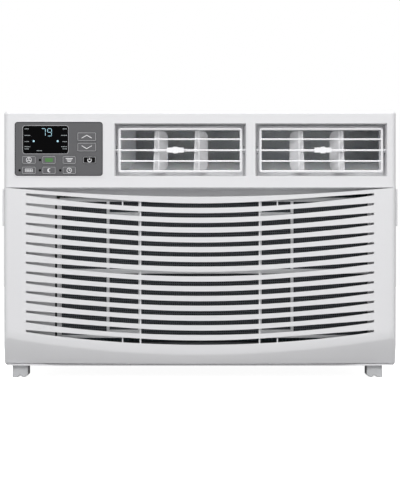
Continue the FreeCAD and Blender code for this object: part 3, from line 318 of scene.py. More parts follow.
def make_finishes(colours):
    """Every finish of the unit, by the name of the record's slot or of the piece's own part."""
    return {
        # Spark-eroded mould: a fine grain spreads the highlights into a soft sheen.
        "white_abs": moulded("White moulded ABS, fine spark grain", colours.white,
                             0.36, 0.9, 0.012, 0.012),
        # Same plastic, drawn lighter as painted light against the duct's shade, so the vanes stand
        # out against the duct.
        "painted_light_vane_abs": moulded("White moulded ABS vane, lightened as painted light", colours.vane, 0.4, 0.9, 0.012, 0.015),
        # Film printed on its back: an even grey with almost no shine.
        "grey_overlay": moulded("Printed polycarbonate film, matt", colours.panel,
                                0.48, 0.6, 0.01, 0.03, 0.25),
        # The darker line that is printed round the film's edge.
        "panel_edge": moulded("Printed film, dark border", linear("3A3A3E"),
                              0.5, 0.6, 0.01, 0.03, 0.25),
        # Keys are stamped from the film, and drawn a little lighter as a painted highlight for the
        # light they catch.
        "grey_key": moulded("Printed key film, matt", scaled(colours.panel, 1.03),
                            0.45, 0.6, 0.01, 0.03, 0.25),
        "green_key": moulded("Printed key film, energy", scaled(colours.panel, 1.03),
                             0.45, 0.6, 0.01, 0.03, 0.25),
        # The power key's film is solid black, dull enough to keep its sign readable.
        "black_key": moulded("Black key film", linear("050505"), 0.35, 0.6, 0.01, 0.1, 0.12),
        # Polished acrylic with smoke in it: black, with a sharp faint reflection.
        "black_display": moulded("Smoked acrylic window", linear("020203"),
                                 0.1, 4, 0.001, 0.1, 0.08),
        # Screen inks are opaque and chalky; each stands a hair above the film.
        "outline_ink": moulded("Screen-printed outline", colours.outline, 0.5, 0.5, 0.01),
        "sign_ink": moulded("Screen-printed sign", colours.ink, 0.5, 0.5, 0.01),
        "dim_ink": moulded("Unlit caption print", linear("8E9496"), 0.5, 0.5, 0.01),
        "energy_ink": moulded("Green key print", colours.energy, 0.5, 0.5, 0.01),
        # Unlit lamps behind clear dots look like small black wells.
        "lens_dot": moulded("Dark indicator lens", linear("020202"), 0.3, 0.5, 0.01, 0.1, 0.1),
        # Segments shine through the smoked window.
        "glow": lit_segment("Lit segment", colours.glow),
        # Coarser texture than the front, so the feet look dull.
        "foot_plastic": moulded("Grey moulded polypropylene", colours.feet, 0.5, 1.2, 0.03, 0.04),
        # Waxy and a little translucent, moulded thin.
        "filter_plastic": moulded("Filter frame polypropylene", linear("DADBDD"),
                                  0.5, 1.0, 0.02, 0.04),
        # Painted highlight on the threads, and the holes painted black as shade.
        "filter_net": woven_net("Woven nylon net", colours.net),
        # The coat's orange peel breaks up what the sheet reflects.
        "painted_steel": powder_coat("Powder-coated steel", colours.cabinet),
        # Each zinc crystal reflects at its own angle, so the sheet looks patchy.
        "galvanised": zinc_sheet("Galvanised steel sheet"),
        # Passivated plating: slightly yellow, with soft highlights.
        "screw_steel": drawn_tube("Zinc-plated screw steel", "C9C7BF", "A8A69C", 1.0, 0.3),
        # Painted glint on the fins' edges and painted shade in the gaps between them.
        "aluminium_fin": fins_with_painted_light("Aluminium fin stack", "C6CACC", "33373A", 0.85),
        # The coating that sheds water takes the shine off the evaporator; its fin bands are painted
        # glint and shade as on the bare fins.
        "blue_fin": fins_with_painted_light("Coated aluminium fin stack", "56656B", "11171A", 0.5),
        # Bright where it was bent, browner where brazing heated it.
        "copper": drawn_tube("Drawn copper tube", "D98B62", "8C4A2E", 1.0, 0.25),
        # Pressed beads leave a pattern of faint joints over a matt white.
        "white_foam": bead_foam("Moulded polystyrene foam", linear("F8F8FA")),
        # Glass fibres at the surface make it mottled and dull.
        "grey_plastic": moulded("Grey glass-filled plastic", linear("5B5E62"),
                                0.55, 1.4, 0.03, 0.08),
        # Baked enamel flows smooth and keeps a wet-looking shine.
        "black_paint": drawn_tube("Black stoved enamel", "1A1A1B", "0D0D0E", 0.0, 0.3),
        # Soft and dusty, with hardly any highlight.
        "rubber": moulded("Moulded rubber", linear("161616"), 0.75, 1.0, 0.05, 0.1),
        # A drawn can shows the long marks of the die under its plating.
        "motor_steel": drawn_tube("Plated motor can", "9DA0A3", "76797C", 1.0, 0.35),
        # Ground steel is the brightest metal in the unit.
        "shaft_steel": drawn_tube("Ground shaft steel", "C4C6C8", "A4A6A8", 1.0, 0.2),
        # Tracks lift the green mask, and look paler where they run.
        "circuit_board": circuit_board("Solder-masked board"),
        # Pressed aluminium, softly streaked along the can.
        "capacitor_can": drawn_tube("Drawn aluminium can", "C8CACC", "A6A8AA", 1.0, 0.3),
        # Nylon takes the mould's grain and stays dark and satin.
        "black_plastic": moulded("Black moulded nylon", linear("1C1C1D"), 0.5, 1.2, 0.03, 0.1),
        # Dipped by hand, so the resin sags into soft lumps.
        "sensor_resin": moulded("Dipped sensor resin", linear("2A2A2E"), 0.35, 2.0, 0.02, 0.1),
        # A lighter, glossier white that paints a highlight on rounded edges and lifts the shaded
        # throat lips as painted light.
        "painted_light_white": moulded("White moulded plastic, lighter as painted highlight", linear("F6F6F8"),
                                0.22, 0.9, 0.004),
        # A black strip, too rough to shine: a painted shadow of the gap beside the filter.
        "painted_gap_shadow": moulded("Black strip, painted gap shadow", linear("1A1B1D"), 0.85, 1.5, 0.1, 0.1, 0.2),
    }


FINISHES = {}
NODE_SLOTS = {s["node"]: s["material_slot"] for s in frame["record"]["subparts"]}
NODE_BODY = {n: body for body, nodes in frame["record"]["behaviour"]["bodies"].items()
             for n in nodes}
OWN_FINISH = {"evaporator_fins": "blue_fin", "left_vane_1": "painted_light_vane_abs", "left_vane_2": "painted_light_vane_abs",
              "right_vane_1": "painted_light_vane_abs", "right_vane_2": "painted_light_vane_abs"}


def finish_of(node):
    return FINISHES[OWN_FINISH.get(node, NODE_SLOTS[node])]


# ---- modelling helpers -------------------------------------------------------------------

def settle(bm, name, finish, body, smooth=True):
    """Makes a piece from a bmesh, gives it its finish and rides it on a body."""
    mesh = bpy.data.meshes.new(name)
    bm.to_mesh(mesh)
    bm.free()
    for face in mesh.polygons:
        face.use_smooth = smooth
    mesh.materials.append(FINISHES[finish] if isinstance(finish, str) else finish)
    piece = bpy.data.objects.new(name, mesh)
    bpy.context.scene.collection.objects.link(piece)
    if body:
        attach(piece, body)
    return piece


def round_edges(piece, width, segments=2, angle=35, edge=None):
    """Rounds the corners of a finished piece; where a finish is named, the corners take it, which
    gives them a lighter white as a painted highlight.
    """
    if edge:
        piece.data.materials.append(FINISHES[edge])
    bevel = piece.modifiers.new("Rounded corners", "BEVEL")
    bevel.width = width * MM
    bevel.segments = segments
    bevel.limit_method = "ANGLE"
    bevel.angle_limit = math.radians(angle)
    bevel.harden_normals = True
    bevel.material = 1 if edge else -1
    return piece


def softened(node, width, smooth=True):
    """A copy of a CAD node with rounded corners, which stands for it."""
    bm = bmesh.new()
    bm.from_mesh(frame["nodes"][node].data)
    bmesh.ops.remove_doubles(bm, verts=bm.verts, dist=0.002 * MM)
    bmesh.ops.dissolve_limit(bm, angle_limit=math.radians(0.6), verts=bm.verts, edges=bm.edges)
    piece = settle(bm, node + "_finished", finish_of(node), NODE_BODY[node], smooth)
    round_edges(piece, width)
    if smooth:
        piece.modifiers.new("Even shading", "WEIGHTED_NORMAL")
    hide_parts(node)
    return piece


def add_block(bm, x, y, z):
    """Adds a block between two values along each axis, in millimetres."""
    made = bmesh.ops.create_cube(bm, size=MM)["verts"]
    size = Vector((x[1] - x[0], y[1] - y[0], z[1] - z[0]))
    middle = Vector((x[1] + x[0], y[1] + y[0], z[1] + z[0])) * 0.5 * MM
    bmesh.ops.scale(bm, vec=size, verts=made)
    bmesh.ops.translate(bm, vec=middle, verts=made)
    return made


def add_rod(bm, middle, radius, length, turn_axis=None, segments=24):
    """Adds a round rod or disc along Z, which a quarter turn about an axis may lay down."""
    made = bmesh.ops.create_cone(bm, cap_ends=True, segments=segments, radius1=radius * MM,
                                 radius2=radius * MM, depth=length * MM)["verts"]
    if turn_axis:
        bmesh.ops.rotate(bm, matrix=Matrix.Rotation(math.pi / 2, 3, turn_axis), verts=made)
    bmesh.ops.translate(bm, vec=Vector(middle) * MM, verts=made)


def raise_faces(bm, faces, thickness):
    """Gives flat faces a thickness towards the front."""
    lifted = bmesh.ops.extrude_face_region(bm, geom=faces)["geom"]
    verts = [g for g in lifted if isinstance(g, bmesh.types.BMVert)]
    bmesh.ops.translate(bm, vec=(0, -thickness * MM, 0), verts=verts)
    bmesh.ops.recalc_face_normals(bm, faces=bm.faces)


def add_stroke(bm, start, end, width, y, thickness=PRINT):
    """Adds a printed line between two points of the front, in millimetres."""
    run = Vector((end[0] - start[0], 0, end[1] - start[1]))
    made = bmesh.ops.create_cube(bm, size=MM)["verts"]
    bmesh.ops.scale(bm, vec=(run.length + width * 0.7, thickness, width), verts=made)
    turn = Matrix.Rotation(-math.atan2(run.z, run.x), 3, "Y")
    bmesh.ops.rotate(bm, matrix=turn, verts=made)
    middle = Vector(((start[0] + end[0]) / 2, y - thickness / 2, (start[1] + end[1]) / 2))
    bmesh.ops.translate(bm, vec=middle * MM, verts=made)


def add_arc(bm, centre, radius, start, end, width, y, steps=18, thickness=PRINT):
    """Adds a printed arc as one strip; its angles are in degrees from +X towards +Z."""
    last = None
    faces = []
    for i in range(steps + 1):
        angle = math.radians(start + (end - start) * i / steps)
        pair = []
        for reach in (radius - width / 2, radius + width / 2):
            pair.append(bm.verts.new(Vector((centre[0] + reach * math.cos(angle), y,
                                             centre[1] + reach * math.sin(angle))) * MM))
        if last:
            faces.append(bm.faces.new((last[0], last[1], pair[1], pair[0])))
        last = pair
    raise_faces(bm, faces, thickness)


def add_rounded_plate(bm, x, z, y, radius, thickness, ring=0.0):
    """Adds a thin plate with rounded corners that faces the front, or only its outline."""
    made = bmesh.ops.create_grid(bm, x_segments=1, y_segments=1, size=0.5 * MM)["verts"]
    bmesh.ops.rotate(bm, matrix=Matrix.Rotation(math.pi / 2, 3, "X"), verts=made)
    bmesh.ops.scale(bm, vec=(x[1] - x[0], 1, z[1] - z[0]), verts=made)
    middle = Vector(((x[0] + x[1]) / 2, y, (z[0] + z[1]) / 2))
    bmesh.ops.translate(bm, vec=middle * MM, verts=made)
    face = made[0].link_faces[0]
    bevelled = bmesh.ops.bevel(bm, geom=list(face.verts), offset=radius * MM, segments=5,
                               affect="VERTICES", profile=0.5, material=-1)
    face = max({f for v in bevelled["verts"] for f in v.link_faces}, key=lambda f: f.calc_area())
    region = [face]
    if ring:
        region = bmesh.ops.inset_region(bm, faces=[face], thickness=ring * MM,
                                        use_boundary=True, use_even_offset=True)["faces"]
        bmesh.ops.delete(bm, geom=[face], context="FACES_ONLY")
    raise_faces(bm, region, thickness)


# ---- intake grille -----------------------------------------------------------------------

FRONT_Y = -335.0
SIDE_Y = -322.0
HALF_WIDTH = 330.0
CORNER = 8.0
BACK_Y = -293.0
LIP_Y = -319.4
BOTTOM_Z = 24.0
TOP_MIDDLE_Z = 304.7
TOP_RISE = 15.7
CHIN_Z = 39.2
CHIN_RISE = 47.4
CHIN_REACH = 317.0
CHIN_SLOPE = math.tan(math.radians(60))
CHIN_ROWS = 4          # rows of the grille's mesh below the slots
FRONT_COLUMNS = 72     # columns of it along a slot
CORNER_STEPS = 6
RIB_X = 100.0          # full-height ribs behind the slots
SHORT_RIB_X = 130.0    # ribs across the top and the bottom slot alone
HINGE_X = 120.0
HINGE_Y = -314.0
HINGE_Z = 29.0
HINGE_PIN_R = 2.5
CHEEK_OUT = 8.5        # cheeks to each side of a hinge pin's middle
GRIP_X = (328.5, 332.9)
GRIP_Y = (-313.5, -300.2)
GRIP_Z = (255.5, 318.2)


def grille_plan(half_slot, steps):
    """Points of the grille's plan, from the back of one side flange to the other's, in mm."""
    inner = HALF_WIDTH - CORNER
    left = [(-HALF_WIDTH, BACK_Y), (-HALF_WIDTH, -300.0), (-HALF_WIDTH, -307.0)]
    turn_y = SIDE_Y + CORNER
    depth = turn_y - front_bow(inner)
    for i in range(CORNER_STEPS + 1):
        angle = math.radians(90 * i / CORNER_STEPS)
        left.append((-inner - CORNER * math.cos(angle), turn_y - depth * math.sin(angle)))
    left += [(x, front_bow(x)) for x in (-312.0, -302.0)]
    front = []
    for i in range(steps + 1):
        x = half_slot * (2 * i / steps - 1)
        front.append((x, front_bow(x)))
    right = [(-x, y) for x, y in reversed(left)]
    return left + front + right


def front_bow(x):
    return FRONT_Y + (SIDE_Y - FRONT_Y) * (x / HALF_WIDTH) ** 2


def chin_y(x, z):
    return FRONT_Y + (CHIN_Z + CHIN_RISE * (x / CHIN_REACH) ** 2 - z) / CHIN_SLOPE


def chin_edge(x, y):
    return CHIN_Z + CHIN_RISE * (x / CHIN_REACH) ** 2 - (y - FRONT_Y) * CHIN_SLOPE


def slot_upper(sizes, x):
    """Height of the top slot's upper edge: an arch with straight ends."""
    arch = sizes.arch / MM
    radius = sizes.upper_radius / MM
    inside = min(abs(x), arch)
    rise = radius - math.sqrt(radius ** 2 - inside ** 2)
    return sizes.top / MM + rise + (abs(x) - inside) * arch / radius


def slot_lower(sizes, x):
    radius = sizes.lower_radius / MM
    return (sizes.top - sizes.opening) / MM + radius - math.sqrt(radius ** 2 - x ** 2)


def grille_row(sizes, row, rows, x, y):
    """Height of one row of the grille's mesh at a place of its plan."""
    edge = chin_edge(x, y)
    chin = {0: BOTTOM_Z, 1: BOTTOM_Z + 1.5, 2: edge - 2.0, 3: edge + 2.0}
    if row in chin:
        return max(BOTTOM_Z, chin[row])
    top = TOP_MIDDLE_Z + TOP_RISE * (x / HALF_WIDTH) ** 2
    if row >= rows - 2:
        return top
    from_top = (rows - 3 - row) // 2
    upper = (rows - 3 - row) % 2 == 0
    height = slot_upper(sizes, x) if upper else slot_lower(sizes, x)
    return height - from_top * sizes.pitch / MM


def grille_skin(sizes):
    """The grille's moulded wall: a grid whose rows follow the slots, with the slots cut out."""
    columns = grille_plan(sizes.half_slot / MM, FRONT_COLUMNS)
    side = (len(columns) - FRONT_COLUMNS - 1) // 2
    rows = CHIN_ROWS + 2 * sizes.slots + 2
    bm = bmesh.new()
    bmesh.ops.create_grid(bm, x_segments=len(columns) - 1, y_segments=rows - 1, size=1.0)
    place = {}
    for vert in bm.verts:
        column = round((vert.co.x + 1) / 2 * (len(columns) - 1))
        row = round((vert.co.y + 1) / 2 * (rows - 1))
        place[vert] = (column, row)
    holes = []
    for face in bm.faces:
        column = min(place[v][0] for v in face.verts)
        row = min(place[v][1] for v in face.verts)
        in_slot = CHIN_ROWS <= row < rows - 2 and (row - CHIN_ROWS) % 2 == 0
        if in_slot and side <= column < side + FRONT_COLUMNS:
            holes.append(face)
    for vert, (column, row) in place.items():
        x, y = columns[column]
        z = grille_row(sizes, row, rows, x, y)
        y = max(y, chin_y(x, z))
        if row == rows - 1:
            y = max(y, LIP_Y)
        vert.co = Vector((x, y, z)) * MM
    bmesh.ops.delete(bm, geom=holes, context="FACES")
    bmesh.ops.remove_doubles(bm, verts=bm.verts, dist=0.05 * MM)
    bmesh.ops.recalc_face_normals(bm, faces=bm.faces)
    front = max(bm.faces, key=lambda f: -f.calc_center_median().y)
    if front.normal.y > 0:
        bmesh.ops.reverse_faces(bm, faces=bm.faces)
    return bm


class AIRCON_OT_grille(bpy.types.Operator):
    """Build the intake grille with its slots, ribs, side grips and hinge pins"""
    bl_idname = "aircon.grille"
    bl_label = "Intake grille"

    def execute(self, context):
        sizes = context.scene.aircon_grille
        skin = settle(grille_skin(sizes), "intake_grille_skin", "white_abs", "grille")
        solid = skin.modifiers.new("Wall", "SOLIDIFY")
        solid.thickness = sizes.wall
        solid.offset = -1
        solid.use_even_offset = False
        # The slots' rounded edges take a lighter white, a painted highlight.
        round_edges(skin, sizes.edge / MM, 3, 45, "painted_light_white")
        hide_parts("intake_grille")
        bottom = sizes.top / MM - sizes.pitch / MM * (sizes.slots - 1)
        bm = bmesh.new()
        for side in (-1, 1):
            x = side * RIB_X
            add_block(bm, (x - 1.3, x + 1.3), (-331, SIDE_Y), (bottom - 12, sizes.top / MM + 7))
            x = side * SHORT_RIB_X
            for z in (sizes.top / MM, bottom):
                add_block(bm, (x - 1, x + 1), (-330, SIDE_Y), (z - 9, z + 8))
            hinge = side * HINGE_X
            for x in (hinge - CHEEK_OUT, hinge + CHEEK_OUT):
                add_block(bm, (x - 1.5, x + 1.5), (SIDE_Y, HINGE_Y + 4),
                          (HINGE_Z - 4, HINGE_Z + 5))
            add_rod(bm, (hinge, HINGE_Y, HINGE_Z), HINGE_PIN_R, 16, "Y", 16)
        ribs = settle(bm, "intake_grille_ribs", "white_abs", "grille", smooth=False)
        bm = bmesh.new()
        for side in (-1, 1):
            add_block(bm, sorted((side * GRIP_X[0], side * GRIP_X[1])), GRIP_Y, GRIP_Z)
        grips = round_edges(settle(bm, "intake_grille_grips", "white_abs", "grille"), 1.0)
        return {"FINISHED"}


# ---- front -------------------------------------------------------------------------------

PANEL_FACE_Y = -318.2
KEY_FACE_Y = -318.7
LENS_FACE_Y = -318.4
KEYS = ["fan", "energy", "mode", "power", "filter", "sleep", "timer", "up", "down"]


def draw_fan(bm, x, z, y):
    for i in range(3):
        angle = math.radians(90 + 120 * i)
        root = (x + 1.2 * math.cos(angle), z + 1.2 * math.sin(angle))
        tip = (x + 2.8 * math.cos(angle), z + 2.8 * math.sin(angle))
        add_stroke(bm, root, tip, 1.4, y)
    add_arc(bm, (x, z), 4.4, 0, 360, 0.8, y, 24)


def draw_mode(bm, x, z, y):
    for i, half in enumerate((5.5, 4.0, 2.5)):
        add_stroke(bm, (x - half, z + 2.4 - 2.4 * i), (x + half, z + 2.4 - 2.4 * i), 1.1, y)


def draw_power(bm, x, z, y):
    add_arc(bm, (x, z - 0.4), 3.0, 130, 410, 1.1, y)
    add_stroke(bm, (x, z + 0.6), (x, z + 3.2), 1.1, y)


def draw_filter(bm, x, z, y):
    for i in range(5):
        add_stroke(bm, (x - 6 + 3 * i, z - 2.4), (x - 6 + 3 * i, z + 2.4), 0.7, y)
    for i in range(3):
        height = z - 2.4 + 2.4 * i
        add_stroke(bm, (x - 6, height), (x + 6, height), 0.7, y, PRINT_OVER)


def draw_sleep(bm, x, z, y):
    add_arc(bm, (x + 0.6, z), 2.9, 60, 300, 1.1, y)
    add_arc(bm, (x + 2.8, z), 3.7, 128, 232, 1.0, y, 12, PRINT_OVER)


def draw_timer(bm, x, z, y):
    add_arc(bm, (x, z), 3.9, 0, 360, 0.9, y, 24)
    add_stroke(bm, (x, z), (x, z + 2.1), 0.9, y)
    add_stroke(bm, (x, z), (x + 1.7, z - 0.6), 0.9, y, PRINT_OVER)


def draw_up(bm, x, z, y, way=1):
    for side, thickness in ((-1, PRINT), (1, PRINT_OVER)):
        add_stroke(bm, (x + 8.2 * side, z - 2.2 * way), (x, z + 2.6 * way), 1.0, y, thickness)


def draw_down(bm, x, z, y):
    draw_up(bm, x, z, y, -1)


SIGNS = {"fan": draw_fan, "mode": draw_mode, "power": draw_power, "filter": draw_filter,
         "sleep": draw_sleep, "timer": draw_timer, "up": draw_up, "down": draw_down}

DIGIT_BARS = {7: "abc", 9: "abcdfg"}


def add_digit(bm, digit, x, z, width, height, stroke, y):
    """Adds a seven-bar digit with its lower left corner at x, z."""
    gap = stroke * 1.25
    mid = z + height / 2
    ends = {
        "a": ((x + gap, z + height), (x + width - gap, z + height)),
        "b": ((x + width, z + height - gap), (x + width, mid + gap)),
        "c": ((x + width, mid - gap), (x + width, z + gap)),
        "d": ((x + gap, z), (x + width - gap, z)),
        "f": ((x, z + height - gap), (x, mid + gap)),
        "g": ((x + gap, mid), (x + width - gap, mid)),
    }
    for bar in DIGIT_BARS[digit]:
        add_stroke(bm, ends[bar][0], ends[bar][1], stroke, y)


def add_caption(bm, x, z):
    """Adds one short bar of the display's unlit captions."""
    add_stroke(bm, (x, z), (x + 1.0, z), 1.3, LENS_FACE_Y)


def millimetres(node):
    low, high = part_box(node)
    return low / MM, high / MM


class AIRCON_OT_front(bpy.types.Operator):
    """Finish the moulded front, the key panel and the feet"""
    bl_idname = "aircon.front"
    bl_label = "Moulded front"

    def execute(self, context):
        softened("front_bezel", 0.7)
        softened("control_overlay", 0.25, smooth=False)
        softened("display_lens", 0.3, smooth=False)
        for feet in ("front_feet", "rear_feet"):
            softened(feet, 1.2)
        for key in KEYS:
            softened(key + "_button", 0.35, smooth=False)
        return {"FINISHED"}


class AIRCON_OT_prints(bpy.types.Operator):
    """Print the keys' outlines and signs, the display's digits and the indicator dots"""
    bl_idname = "aircon.prints"
    bl_label = "Printed signs"

    def execute(self, context):
        for key in KEYS:
            low, high = millimetres(key + "_button")
            middle = (low + high) / 2
            bm = bmesh.new()
            add_rounded_plate(bm, (low.x + 0.3, high.x - 0.3), (low.z + 0.3, high.z - 0.3),
                              KEY_FACE_Y, 1.9, PRINT, 0.7)
            outline = settle(bm, key + "_key_outline", "outline_ink", key + "_key", smooth=False)
            bm = bmesh.new()
            if key == "energy":
                add_rounded_plate(bm, (middle.x - 6.5, middle.x + 6.5),
                                  (middle.z - 3.2, middle.z + 3.2), KEY_FACE_Y, 1.2, PRINT)
            else:
                SIGNS[key](bm, middle.x, middle.z, KEY_FACE_Y)
            ink = "energy_ink" if key == "energy" else "sign_ink"
            sign = settle(bm, key + "_key_sign", ink, key + "_key", smooth=False)
        self.print_display()
        return {"FINISHED"}

    def print_display(self):
        low, high = millimetres("display_lens")
        bm = bmesh.new()
        for digit, x in ((7, 31.2), (9, 41.6)):
            add_digit(bm, digit, low.x + x, low.z + 29.5, 6.6, 12.4, 0.8, LENS_FACE_Y)
        for x in (low.x + 18.1, high.x - 17.5):
            add_rod(bm, (x, LENS_FACE_Y - PRINT / 2, low.z + 20.8), 1.7, PRINT, "X")
        digits = settle(bm, "display_digits", "glow", "housing", smooth=False)
        bm = bmesh.new()
        for row, z in enumerate((41.5, 30.5, 20.0, 11.5, 7.8)):
            for i in range(3 + row % 2):
                add_caption(bm, low.x + 3.2 + 2.5 * i, low.z + z)
                add_caption(bm, high.x - 3.6 - 2.5 * i, low.z + z)
        for i in range(4):
            add_caption(bm, low.x + 23.5 + 2.4 * i, low.z + 4.8)
        marks = settle(bm, "display_marks", "dim_ink", "housing", smooth=False)
        bm = bmesh.new()
        for key in ("energy", "filter", "sleep", "timer"):
            key_low, key_high = millimetres(key + "_button")
            middle_z = (key_low.z + key_high.z) / 2
            add_rod(bm, (key_low.x - 4.1, PANEL_FACE_Y - 0.1, middle_z), 2.1, 0.2, "X")
        dots = settle(bm, "indicator_dots", "lens_dot", "housing", smooth=False)
        bm = bmesh.new()
        add_rounded_plate(bm, (low.x - 0.9, high.x + 0.9), (low.z - 0.9, high.z + 0.9),
                          PANEL_FACE_Y, 4.6, PRINT, 0.7)
        rim = settle(bm, "display_outline", "outline_ink", "housing", smooth=False)
        low, high = millimetres("control_overlay")
        bm = bmesh.new()
        add_rounded_plate(bm, (low.x, high.x), (low.z, high.z), PANEL_FACE_Y, 5.0, PRINT, 1.3)
        border = settle(bm, "panel_border", "panel_edge", "housing", smooth=False)


LOUVER_HALF_W = 104.25
LOUVER_BAR = 3.8
STILE_BACK_Y = -298.0
TILT_Y = -304.0
CROSS_BARS_Z = (401.9, 383.3, 365.0)
DUCT_X = {"left": (-144.5, 80.0), "right": (94.0, 315.5)}
DUCT_Z = (338.5, 430.5)
SCROLL_Y = (-258.0, -214.0)
SCROLL_TOP_Z = 365.0
THROAT_HALF = (107.1, 42.35)
LIP_BACK_Y = -271.5
LIP_WIDTH = 6.5
BARREL_R = 3.2
LINK_Z = 383.5
ARMS_Z = (378.8, 387.8)
TAB_Y = (-314.8, -312.6)


class AIRCON_OT_louvers(bpy.types.Operator):
    """Finish the louver frames, the vanes and their link bars"""
    bl_idname = "aircon.louvers"
    bl_label = "Louvers"

    def execute(self, context):
        for side in ("left", "right"):
            self.build_frame(side)
            self.build_scroll(side)
            self.build_lip(side)
            softened(side + "_vane_1", 0.4)
            softened(side + "_vane_2", 0.4)
            self.build_link(side)
            self.build_pivots(side)
        return {"FINISHED"}

    def build_frame(self, side):
        node = side + "_louver_frame"
        low, high = millimetres(node)
        middle = (low + high) / 2
        left, right = middle.x - LOUVER_HALF_W, middle.x + LOUVER_HALF_W
        bm = bmesh.new()
        add_rounded_plate(bm, (left, right), (low.z, high.z), STILE_BACK_Y, 4.5,
                          STILE_BACK_Y - low.y, LOUVER_BAR)
        for z in (low.z, high.z - LOUVER_BAR):
            add_block(bm, (left + 4.5, right - 4.5), (STILE_BACK_Y - 1, high.y),
                      (z + 0.1, z + LOUVER_BAR - 0.1))
        for z in CROSS_BARS_Z:
            add_block(bm, (left + 2, right - 2), (low.y, low.y + 4), (z - 1.45, z + 1.45))
        frame_piece = settle(bm, side + "_louver_frame_finished", "white_abs", side + "_louver")
        # The frame's rounded edges take a lighter white, a painted highlight.
        round_edges(frame_piece, 1.1, 3, edge="painted_light_white")
        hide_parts(node)
        bm = bmesh.new()
        for end, x in ((low.x, left), (high.x, right)):
            add_rod(bm, ((end + x) / 2, TILT_Y, middle.z), HINGE_PIN_R, abs(end - x) + 1.5,
                    "Y", 20)
        pins = settle(bm, side + "_louver_pins", "white_abs", side + "_louver")
        round_edges(pins, 0.3)

    def build_lip(self, side):
        """Builds the lip that closes the gap round the louver, behind the frame's swing."""
        low, high = millimetres(side + "_louver_frame")
        middle = (low + high) / 2
        left, right = middle.x - THROAT_HALF[0], middle.x + THROAT_HALF[0]
        bottom, top = middle.z - THROAT_HALF[1], middle.z + THROAT_HALF[1]
        depth = (LIP_BACK_Y - 1.5, LIP_BACK_Y)
        bm = bmesh.new()
        for z in ((bottom, bottom + LIP_WIDTH), (top - LIP_WIDTH, top)):
            add_block(bm, (left, right), depth, z)
        for x in ((left, left + LIP_WIDTH), (right - LIP_WIDTH, right)):
            add_block(bm, x, depth, (bottom + LIP_WIDTH, top - LIP_WIDTH))
        # The lip takes the lighter white as painted light, to lift the shade it sits in behind the
        # mouth.
        lip = settle(bm, side + "_throat_lip", "painted_light_white", "housing", smooth=False)

    def build_link(self, side):
        """Builds the bar that joins the vanes, with its flat finger tab and the tab's ridge."""
        node = side + "_vane_link"
        low, high = millimetres(node)
        ends = (low.x + BARREL_R, high.x - BARREL_R)
        y = high.y - BARREL_R
        middle = sum(ends) / 2
        bm = bmesh.new()
        add_block(bm, ends, (y - 1, y + 1), (LINK_Z - 2, LINK_Z + 2))
        for x in ends:
            add_rod(bm, (x, y, LINK_Z), BARREL_R, 6)
        arm_x = (middle - 5, middle + 5)
        low_z, high_z = ARMS_Z
        add_block(bm, arm_x, (y - 1, y + 1), ARMS_Z)
        for z in ((high_z - 2.4, high_z), (low_z, low_z + 2.4)):
            add_block(bm, arm_x, (TAB_Y[1] - 0.4, y), z)
        add_block(bm, (middle - 14.4, middle + 14.4), TAB_Y, (379.3, 387.7))
        add_block(bm, (middle - 4, middle + 4), (TAB_Y[0] - 0.9, TAB_Y[0] + 0.1), (378.0, 389.0))
        # The bar takes the vanes' lightened white, painted light against the duct's shade.
        link = settle(bm, node + "_finished", "painted_light_vane_abs", NODE_BODY[node], smooth=False)
        round_edges(link, 0.3)
        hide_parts(node)

    def build_pivots(self, side):
        """Builds the small forks on the outlet's walls that the louver's pins snap into."""
        low, high = millimetres(side + "_louver_frame")
        middle_z = (low.z + high.z) / 2
        bm = bmesh.new()
        for wall, inward in ((low.x + 1.6, 1), (high.x - 1.6, -1)):
            x = sorted((wall, wall + inward * 1.0))
            for z in (middle_z - 6.6, middle_z + 5.0):
                add_block(bm, x, (TILT_Y - 3.5, TILT_Y + 3.5), (z, z + 1.6))
        # The forks take the darker grey plastic, which paints the shade in the gaps round the pins.
        forks = settle(bm, side + "_louver_forks", "grey_plastic", "housing", smooth=False)

    def build_scroll(self, side):
        """Builds the foam floor that rises behind the vanes, and the left duct's side wall."""
        left, right = DUCT_X[side]
        middle_y = sum(SCROLL_Y) / 2 * MM
        bm = bmesh.new()
        ramp = add_block(bm, (left, right), SCROLL_Y, (DUCT_Z[0], SCROLL_TOP_Z))
        for vert in ramp:
            if vert.co.z > SCROLL_TOP_Z * MM - NEARLY and vert.co.y < middle_y:
                vert.co.z = (DUCT_Z[0] + 1.5) * MM
        wall_x = (left, left + 34) if side == "left" else (right - 8, right)
        wall = add_block(bm, wall_x, SCROLL_Y, (DUCT_Z[0] + 0.2, DUCT_Z[1]))
        for vert in wall:
            if side == "left" and vert.co.y < middle_y and vert.co.x > left * MM + NEARLY:
                vert.co.x = (left + 2) * MM
        bmesh.ops.recalc_face_normals(bm, faces=bm.faces)
        scroll = settle(bm, side + "_duct_scroll", "white_foam", "housing")
        round_edges(scroll, 3.0, 3, 10)


# ---- cabinet and inside ------------------------------------------------------------------

CABINET_HALF = 326.0
CABINET_TOP = 445.0
SIDE_VENTS_Y = (150.0, 235.0)
SIDE_VENT_ROWS = 14
SIDE_VENT_LOW_Z = 116.5
SIDE_VENT_PITCH = 20
TOP_VENTS_X = (-195.0, -65.0, 65.0, 195.0)
TOP_VENT_ROWS = 6
TOP_VENT_FRONT_Y = 126.5
TOP_VENT_PITCH = 18
X_AXIS = Vector((1, 0, 0))
Y_AXIS = Vector((0, 1, 0))
Z_AXIS = Vector((0, 0, 1))


def add_hood(bm, along, out, up, middle, length, reach, rise):
    """Adds one pressed hood of a louver: a rounded half shell that stands out of the sheet."""
    made = bmesh.ops.create_uvsphere(bm, u_segments=12, v_segments=8, radius=1.0)["verts"]
    for vert in made:
        vert.co.x = max(-1.0, min(1.0, vert.co.x * 1.25))
    frame_of_hood = Matrix((along * length / 2, out * reach, up * rise)).transposed()
    bmesh.ops.transform(bm, matrix=frame_of_hood.to_4x4(), verts=made)
    bmesh.ops.translate(bm, vec=middle, verts=made)
    bmesh.ops.scale(bm, vec=(MM, MM, MM), verts=made)


